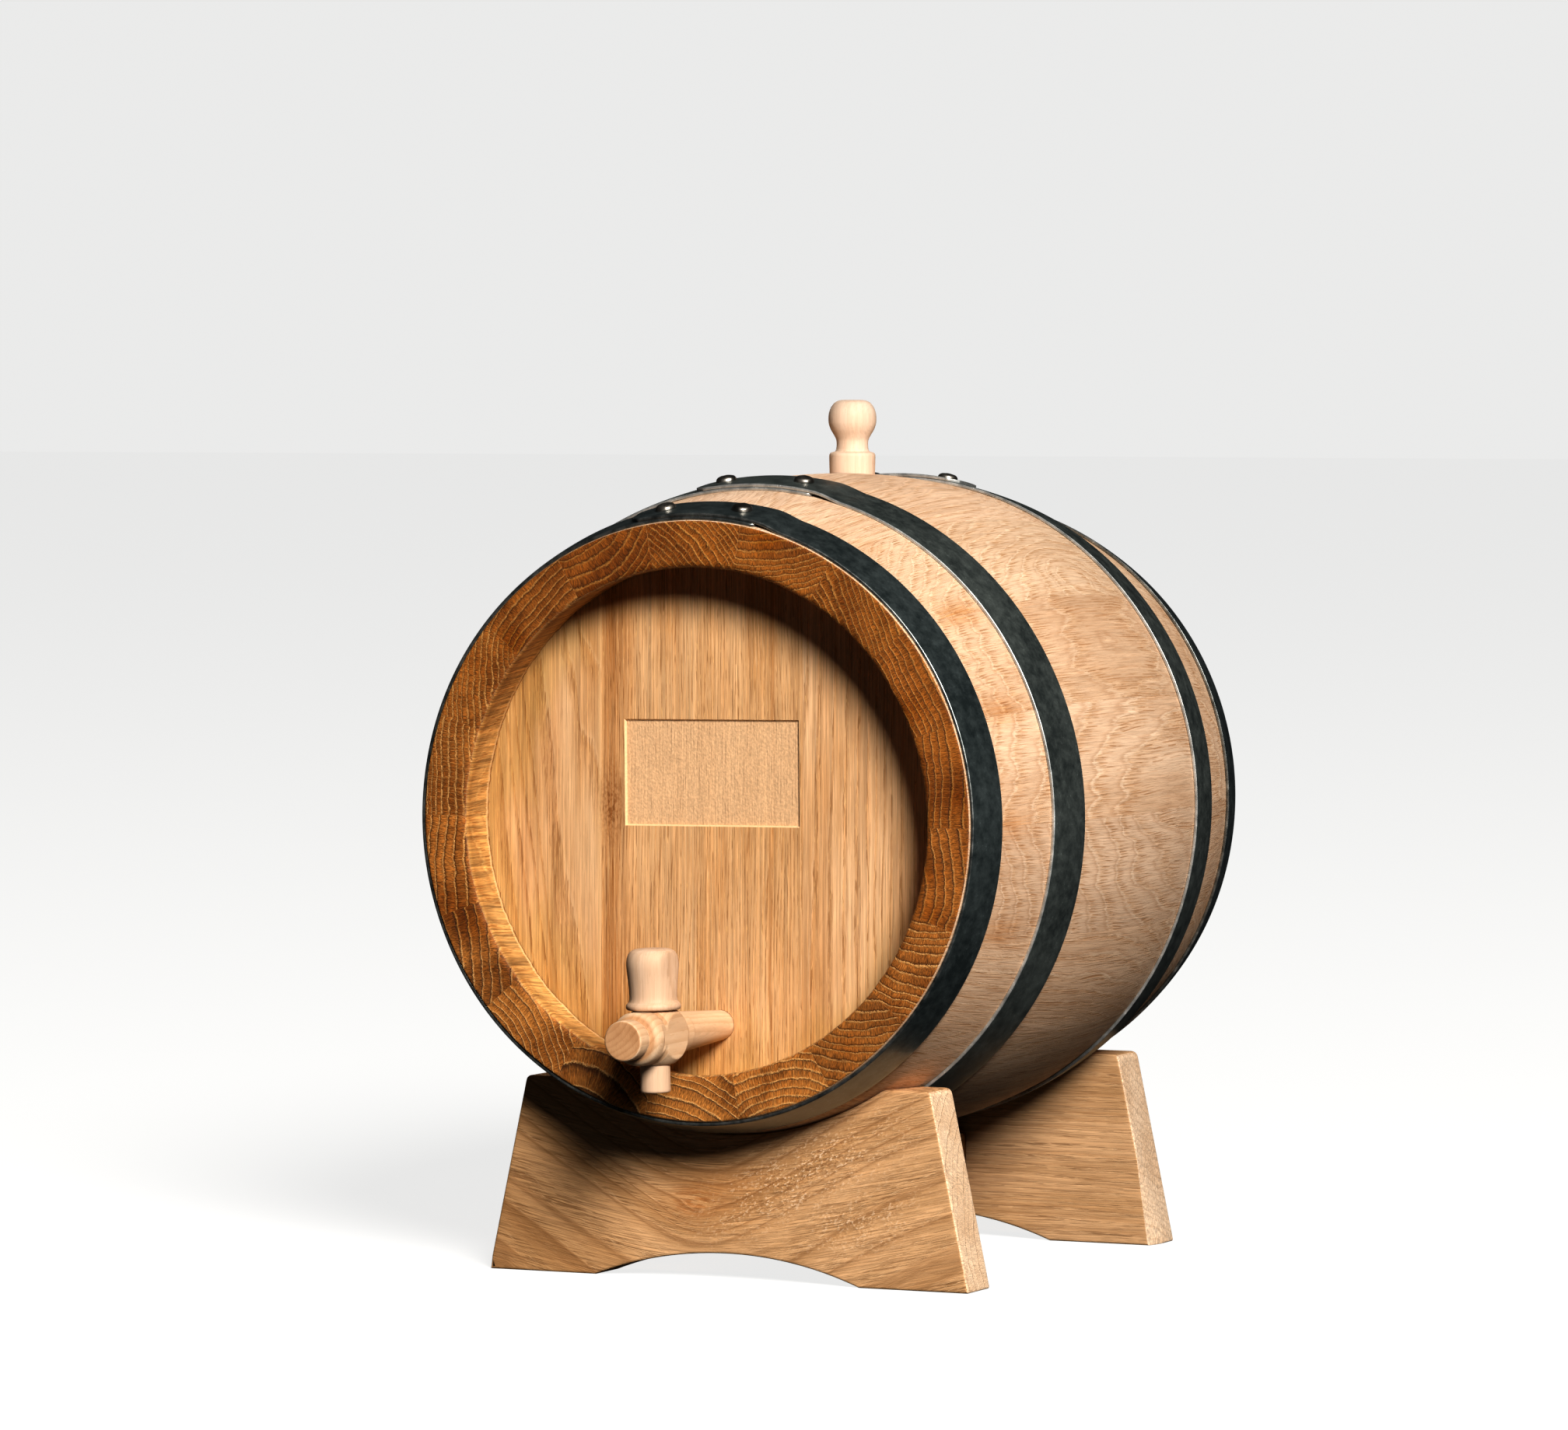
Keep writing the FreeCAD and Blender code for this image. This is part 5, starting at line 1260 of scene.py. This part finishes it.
def tap_body():
    prof = [(0, -53.2), (5.9, -53.2), (6.35, -53.05), (6.62, -52.7), (6.72, -52.1), (6.74, -49.5), (6.68, -47.2), (6.42, -46.3),
            (6.12, -45.9), (6.2, -45.5), (6.7, -45.2)]
    prof += eased([(6.7, -45.2), (7.7, -44.6), (8.6, -43.5), (9.0, -42.2), (9.12, -40.0), (9.05, -38.2), (8.75, -36.9)], 4)[1:]
    prof += [(8.4, -36.2), (8.3, -35.8)]
    for y in np.linspace(-35.0, -20.0, 34):
        prof.append((8.15 + 2.85 * math.cos((y + 28.2) / 8.6 * math.pi / 2) ** 0.85 if abs(y + 28.2) < 8.6 else 8.15, y))
    prof += [(8.05, -19.5), (7.75, -18.6), (7.35, -17.8), (7.22, -17.2), (7.22, -13.4), (7.1, -12.8), (6.95, -12.3)]
    prof += [(6.92 - 1.9 * t, -12.0 + 34.0 * t) for t in np.linspace(0, 1, 24)]
    prof += [(4.9, 22.3), (4.5, 30.0), (4.17, 38.0), (3.86, 44.0), (3.72, 46.6), (3.5, 47.1), (3.1, 47.2), (0, 47.2)]

    def flats(r, a, h):
        # lathe angle a runs from the tap's +X; +Z of the tap is at 90 degrees after the turn
        if not -43.2 < h < -16.2:
            return r
        for target, dist, lo, hi in ((math.pi / 2, 8.3, -43.0, -16.0), (-math.pi / 2, 9.3, -42.0, -16.0),
                                     (0.0, 8.0, -40.0, -18.0), (math.pi, 8.0, -40.0, -18.0)):
            if lo < h < hi:
                c = np.cos(a - target)
                d = np.where(c > 0.2, dist / np.clip(c, 0.2, 1), 99.0)
                r = np.where(d < r + 0.4, soft_min(r, d, 0.22), r)
        return r
    v, f = turned(prof, 220, flats)
    v = np.stack([v[:, 0], v[:, 2], v[:, 1]], 1)
    obj = build("turned_tap", in_tap(v), f, "tap", "tap_body", M_TAP)
    outward(obj)
    slope = 0.8 / 17.6
    seat = [(0, -14.0), (5.05 - slope * 4.7, -14.0), (5.05, -9.3), (5.85, 8.3), (5.85 + slope * 5, 13.0), (0, 13.0)]
    sv, sf = turned(seat, 72)
    way, wf = turned([(0, -29.0), (2.5, -29.0), (2.5, 49.0), (0, 49.0)], 32)
    way = np.stack([way[:, 0], way[:, 2], -way[:, 1]], 1)
    carve(obj, [(in_tap(sv, -29.0), sf), (in_tap(way), wf)])
    timber(obj, in_tap([[0, 0, 0]])[0], (1, 0, 0), (0, 0, 1), (0, 1, 0), (-7.0, 10.0), 2.1, 7.7, smooth_cut=False)
    weighted(obj)


def tap_key():
    sit = 8.65
    prof = [(0, -18.6), (4.4, -18.6), (4.78, -18.5), (4.95, -18.2), (5.0, -17.6), (5.0, -9.3), (5.8, 8.3), (5.8, sit), (7.9, sit)]
    prof += eased([(8.2, sit + 0.02), (8.75, sit + 0.25), (9.08, sit + 0.85), (9.08, sit + 1.5), (8.75, sit + 2.1), (8.25, sit + 2.7),
                   (7.98, sit + 3.6), (7.92, sit + 5.0), (8.05, sit + 7.5), (8.3, sit + 10.2), (8.6, sit + 12.8),
                   (8.75, sit + 14.6), (8.66, sit + 16.3), (8.25, sit + 17.9), (7.5, sit + 19.1), (6.5, sit + 19.8), (5.4, 28.85)], 5)
    prof += [(4.0, 28.97), (2.2, 29.0), (0, 29.0)]

    def pinch(r, a, h):
        """Thumb hollows either side."""
        if h < sit + 3.0:
            return r
        t = smooth01((h - sit - 3.0) / 9.0) * (1 - smooth01((h - sit - 18.0) / 4.0) * 0.5)
        face = math.radians(-8.0)
        for k in (face, face + math.pi):
            c = np.cos(a - k)
            d = np.where(c > 0.25, (7.25 + 1.2 * (1 - t)) / np.clip(c, 0.25, 1), 99.0)
            r = np.where(d < r + 1.6, soft_min(r, d, 1.1), r)
        return r
    v, f = turned(prof, 160, pinch)
    obj = build("turned_key", in_tap(v, -29.0), f, "key", "tap_key", M_KEY)
    outward(obj)
    bore_v, bore_f = turned([(0, -20.0), (2.9, -20.0), (2.75, -18.4), (2.6, -18.0), (2.6, 2.4), (0, 2.4)], 40)
    cross, cf = turned([(0, 0.0), (2.5, 0.0), (2.5, 12.0), (0, 12.0)], 32)
    cross = np.stack([cross[:, 0], cross[:, 2], -cross[:, 1]], 1)
    carve(obj, [(in_tap(bore_v, -29.0), bore_f), (in_tap(cross, -29.0), cf)])
    timber(obj, in_tap([[0, -29.0, 0]])[0], (1, 0, 0), (0, 1, 0), np.array(LEAN) @ np.array([0.03, 0, 1]), (-14.0, 20.0), 2.4, 3.9,
           smooth_cut=False)
    weighted(obj)


tap_body()
tap_key()


# ------------------------------------------------------------------- stand
def inset_outline(p, d):
    """Moves a counter-clockwise outline inward by d."""
    a = p - np.roll(p, 1, 0)
    b = np.roll(p, -1, 0) - p
    a /= np.linalg.norm(a, axis=1)[:, None]
    b /= np.linalg.norm(b, axis=1)[:, None]
    na, nb = np.stack([-a[:, 1], a[:, 0]], 1), np.stack([-b[:, 1], b[:, 0]], 1)
    n = na + nb
    n /= np.linalg.norm(n, axis=1)[:, None]
    c = np.clip((n * nb).sum(1), 0.6, 1)
    return p + n * (d / c)[:, None]


def cradle_outline(radius):
    """Outline of a cradle plank in (x, z), counter-clockwise seen from +Y ... -Y side."""
    h, top, foot, arch, rise = 66.7, 74.8, 89.0, 48.9, 9.2
    pts = []

    def line(p, q, n):
        p, q = np.array(p, float), np.array(q, float)
        return [tuple(p + (q - p) * t) for t in np.linspace(0, 1, n, endpoint=False)]
    r_arch = 134.557
    pts += [tuple(p) for p in rounded((-80, 12), (-89.0, 0.0), (-80, 0), 0.9, 3)]
    pts += line((-86, 0), (-arch, 0), 12)
    half = math.asin(arch / r_arch)
    for t in np.linspace(-half, half, 41):
        pts.append((r_arch * math.sin(t), rise - r_arch + r_arch * math.cos(t)))
    pts += line((arch, 0), (88.1, 0), 13)[1:]
    pts += [tuple(p) for p in rounded((80, 0), (89.0, 0.0), (80, 42.3), 0.9, 3)]
    pts += line((88.6, 66.7 * 0.4 / 14.2), (75.3, 64.4), 24)[1:]
    pts += [tuple(p) for p in rounded((80, 42.3), (74.8, 66.7), (60, 66.7), 2.2, 5)]
    cz = AXIS_Z
    edge_x = math.sqrt(radius ** 2 - (cz - h) ** 2)
    pts += line((72.2, 66.7), (edge_x + 0.9, 66.7), 8)[1:]
    t_edge = math.asin(edge_x / radius)
    arc = [(radius * math.sin(t), cz - radius * math.cos(t)) for t in np.linspace(t_edge - 0.008, -t_edge + 0.008, 61)]
    pts += [(edge_x + 0.6, 66.65)]
    pts += arc
    pts += [(-edge_x - 0.6, 66.65)]
    pts += line((-edge_x - 0.9, 66.7), (-72.4, 66.7), 8)[1:]
    pts += [tuple(p) for p in rounded((-60, 66.7), (-74.8, 66.7), (-80, 42.3), 1.8, 5)]
    pts += line((-75.2, 64.8), (-88.6, 66.7 * 0.4 / 14.2), 24)[1:]
    return np.array(pts)


def fill(outline, spacing):
    """Triangles inside an outline with points spread evenly within."""
    lo, hi = outline.min(0), outline.max(0)
    n = len(outline)
    a, b = outline, np.roll(outline, -1, 0)
    pts = []
    xs = np.arange(lo[0] + spacing * 0.6, hi[0], spacing)
    zs = np.arange(lo[1] + spacing * 0.6, hi[1], spacing)
    for k, z in enumerate(zs):
        for x in xs + (spacing / 2 if k % 2 else 0):
            crossing = ((a[:, 1] > z) != (b[:, 1] > z))
            xi = a[:, 0] + (z - a[:, 1]) / np.where(crossing, b[:, 1] - a[:, 1], 1) * (b[:, 0] - a[:, 0])
            if (crossing & (xi > x)).sum() % 2 == 0:
                continue
            ab = b - a
            t = np.clip(((x - a[:, 0]) * ab[:, 0] + (z - a[:, 1]) * ab[:, 1]) / (ab ** 2).sum(1), 0, 1)
            d = np.hypot(a[:, 0] + ab[:, 0] * t - x, a[:, 1] + ab[:, 1] * t - z).min()
            if d > spacing * 0.45:
                pts.append((x, z))
    allp = [Vector(p) for p in outline] + [Vector(p) for p in pts]
    out = delaunay_2d_cdt(allp, [(i, (i + 1) % n) for i in range(n)], [], 1, 1e-6)
    vs, _, fs, orig = out[0], out[1], out[2], out[3]
    index = [o[0] if o else None for o in orig]
    return np.array([tuple(v) for v in vs]), fs, index, n


def plank(name, cad, y0, r_front, r_back, seed, chamfer):
    y1 = y0 + 18.5
    edge = 0.9
    levels = [(y0, edge), (y0 + 0.16 * edge, edge * 0.45), (y0 + 0.5 * edge, edge * 0.12), (y0 + edge, 0.0)]
    levels += [(y0 + 18.5 * t, 0.0) for t in (0.2, 0.4, 0.6, 0.8)]
    levels += [(y1 - edge, 0.0), (y1 - 0.5 * edge, edge * 0.12), (y1 - 0.16 * edge, edge * 0.45), (y1, edge)]
    rings = []
    for y, inset in levels:
        t = (y - y0) / 18.5
        o = inset_outline(cradle_outline(r_front + (r_back - r_front) * t), inset)
        rings.append(np.column_stack([o[:, 0], np.full(len(o), y), o[:, 1]]))
    n = len(rings[0])
    verts = list(np.concatenate(rings))
    faces = ring_faces(len(rings), n)
    for ring, y, flip in ((0, y0, False), (len(rings) - 1, y1, True)):
        o = rings[ring][:, [0, 2]]
        vs, fs, index, count = fill(o, 2.6)
        base = ring * n
        where = {}
        for i, v in enumerate(vs):
            if index[i] is not None and index[i] < count:
                where[i] = base + index[i]
            else:
                where[i] = len(verts)
                verts.append(np.array([v[0], y, v[1]]))
        for f in fs:
            q = tuple(where[i] for i in f)
            faces.append(q if flip else tuple(reversed(q)))
    v = np.array(verts)
    if chamfer:
        # a corner split off the front lower right arris
        k = np.clip((36.0 - v[:, 2]) / 36.0, 0, 1)
        edge_x = 89.0 - v[:, 2] * (14.2 / 66.7)
        depth_x, depth_y = 2.6 * k, 8.0 * k ** 0.8
        inside = edge_x - v[:, 0]
        with np.errstate(divide="ignore", invalid="ignore"):
            limit = depth_x * (1 - (v[:, 1] - y0) / np.maximum(depth_y, 1e-6))
        push = np.where((k > 0) & (v[:, 0] > 60) & (inside < limit), limit - inside, 0)
        v[:, 0] -= push * (v[:, 0] > 60)
    # saws leave the faces a little uneven
    v[:, 1] += 0.10 * wobble(v[:, 0] * 0.09, seed) * wobble(v[:, 2] * 0.11, seed + 4) * ((v[:, 1] < y0 + 0.01) | (v[:, 1] > y1 - 0.01))
    obj = build(name, v + np.array([0, 0, 0]), faces, "stand", cad, M_STAND if chamfer else M_PLANK)
    outward(obj)
    return obj


def cone(y):
    return float(outside(y)) + 0.3


front = plank("front_plank", "front_cradle", FACE_Y + 26.5, cone(26.5), cone(45.0), 3, False)
rear = plank("rear_plank", "rear_cradle", FACE_Y + 236 - 26.5 - 18.5, cone(45.0), cone(26.5), 6, True)


def sweep(p):
    """The front plank was sawn beside a branch: its rings dip to a point below the knot."""
    x, z = p[:, 0], p[:, 2]
    u = x + 8.0
    rings = 0.66 * (np.sqrt(u * u + 16.0 ** 2) - 16.0) - 0.0022 * np.clip(u - 40, 0, None) ** 2
    grain = 0.24 * (np.sqrt(u * u + 30.0 ** 2) - 30.0)
    eye = np.exp(-((x + 12.0) ** 2 + 2.2 * (z - 26.0) ** 2) / 10.0 ** 2)
    near = 0.75 * (z - 26.0) * eye
    return rings + near, grain + near


timber(front, (0, FACE_Y + 26.5, 34), (0, 0, 1), (0, -1, 0), unit([1, 0, 0.0]), (-70.0, -62.0), 4.4, 5.1, along=118.0, flow=sweep,
       tint=(1.04, 1.05, 1.08))
timber(rear, (0, FACE_Y + 191, 34), (0, 0, 1), (0, -1, 0), unit([1, 0, 0.02]), (60.0, -40.0), 2.6, 8.6, along=118.0,
       tint=(0.91, 0.93, 0.98))
for o in (front, rear):
    weighted(o)


def rail():
    x, y0, y1, z0, z1 = 17.0, FACE_Y + 45.0, FACE_Y + 191.0, 15.0, 37.0
    c = 0.8
    sec = []
    for (cx, cz), (a, b) in (((x - c, z0 + c), (-90, 0)), ((x - c, z1 - c), (0, 90)), ((-x + c, z1 - c), (90, 180)), ((-x + c, z0 + c), (180, 270))):
        for t in np.radians(np.linspace(a, b, 4)):
            sec.append((cx + c * math.cos(t), cz + c * math.sin(t)))
    sec = np.array(sec)
    ys = np.linspace(y0 + 0.02, y1 - 0.02, 40)
    verts = np.concatenate([np.column_stack([sec[:, 0], np.full(len(sec), y), sec[:, 1]]) for y in ys])
    n = len(sec)
    faces = ring_faces(len(ys), n)
    faces += [tuple(range(n)), tuple(reversed(range((len(ys) - 1) * n, len(ys) * n)))]
    obj = build("stand_crossrail", verts, faces, "stand", "stand_rail", M_STAND)
    outward(obj)
    timber(obj, (0, 0, 26), (1, 0, 0), (0, 0, 1), unit([0.02, 1, 0.01]), (30.0, -50.0), 3.1, 12.2, along=118.0)
    weighted(obj)


rail()

# dowels are round pins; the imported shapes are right, and they get their wood here
for node in ("front_head_dowels", "rear_head_dowels", "stand_dowels"):
    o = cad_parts[node]
    o.data.materials.clear()
    o.data.materials.append(M_DOWEL)

# ------------------------------------------------------------------- stage
PALE = (0.86, 0.86, 0.856)


def stage():
    """A pale floor out to the horizon, of the same tone as the sky behind it."""
    me = bpy.data.meshes.new("floor")
    s = 40.0
    me.from_pydata([(-s, -s, 0), (s, -s, 0), (s, s, 0), (-s, s, 0)], [], [(0, 1, 2, 3)])
    floor = bpy.data.objects.new("floor", me)
    bpy.context.scene.collection.objects.link(floor)
    m, N, b = new_material("floor_paint")
    tc = N.new("ShaderNodeTexCoord").outputs["Object"]
    n = N.noise(tc, scale=3.0, detail=2.0)[0]
    N.put(N.mix(n, (0.235, 0.235, 0.233), (0.245, 0.245, 0.243)), b.inputs["Base Color"])
    b.inputs["Roughness"].default_value = 0.9
    b.inputs["Specular IOR Level"].default_value = 0.0
    b.inputs["Emission Color"].default_value = (1.0, 1.0, 0.995, 1)
    b.inputs["Emission Strength"].default_value = 0.836
    me.materials.append(m)
    floor.visible_diffuse = False
    floor.visible_glossy = False
    floor.visible_shadow = False


stage()


def area(name, azimuth, elevation, distance, size, power, colour=(1, 1, 1), target=(0.0, 0.0, 0.15)):
    """A softbox. Azimuth 0 stands in front of the cask, 90 on its right."""
    light = bpy.data.lights.new(name, "AREA")
    light.shape = "DISK"
    light.size = size
    light.energy = power
    light.color = colour
    o = bpy.data.objects.new(name, light)
    bpy.context.scene.collection.objects.link(o)
    a, e = math.radians(azimuth), math.radians(elevation)
    way = Vector((math.sin(a) * math.cos(e), -math.cos(a) * math.cos(e), math.sin(e)))
    o.location = Vector(target) + way * distance
    o.rotation_mode = "QUATERNION"
    o.rotation_quaternion = way.to_track_quat("Z", "Y")
    return o


key = area("key", 40.5, 28.7, 6.0, 2.0, 660.0, (1.0, 0.975, 0.94))
back = area("back", 216.0, 20.0, 3.6, 2.4, 130.0, (0.97, 0.98, 1.0))
back.visible_glossy = False
# light that the table throws back up
bounce = area("bounce", 5.0, -32.0, 1.6, 1.3, 0.55, (1.0, 0.93, 0.84), (0.0, -0.05, 0.06))
bounce.visible_glossy = False
aside = bpy.data.collections.new("unlit_by_back")
aside.objects.link(bpy.data.objects["floor"])
back.light_linking.receiver_collection = aside
aside.collection_objects[0].light_linking.link_state = "EXCLUDE"

world = bpy.data.worlds.new("studio")
bpy.context.scene.world = world
world.use_nodes = True
W = Nodes(world.node_tree)
bg = world.node_tree.nodes["Background"]
bg.inputs[0].default_value = (0.92, 0.95, 1.0, 1)
bg.inputs[1].default_value = 0.014
sky = W.new("ShaderNodeBackground")
sky.inputs[0].default_value = PALE + (1,)
sky.inputs[1].default_value = 1.0
see = W.new("ShaderNodeMixShader")
W.put(W.new("ShaderNodeLightPath").outputs["Is Camera Ray"], see.inputs[0])
W.put(bg.outputs[0], see.inputs[1])
W.put(sky.outputs[0], see.inputs[2])
W.put(see.outputs[0], next(n for n in world.node_tree.nodes if n.type == "OUTPUT_WORLD").inputs[0])
bpy.context.scene.view_settings.view_transform = "Standard"
bpy.context.scene.view_settings.look = "None"
bpy.context.scene.view_settings.gamma = TONE
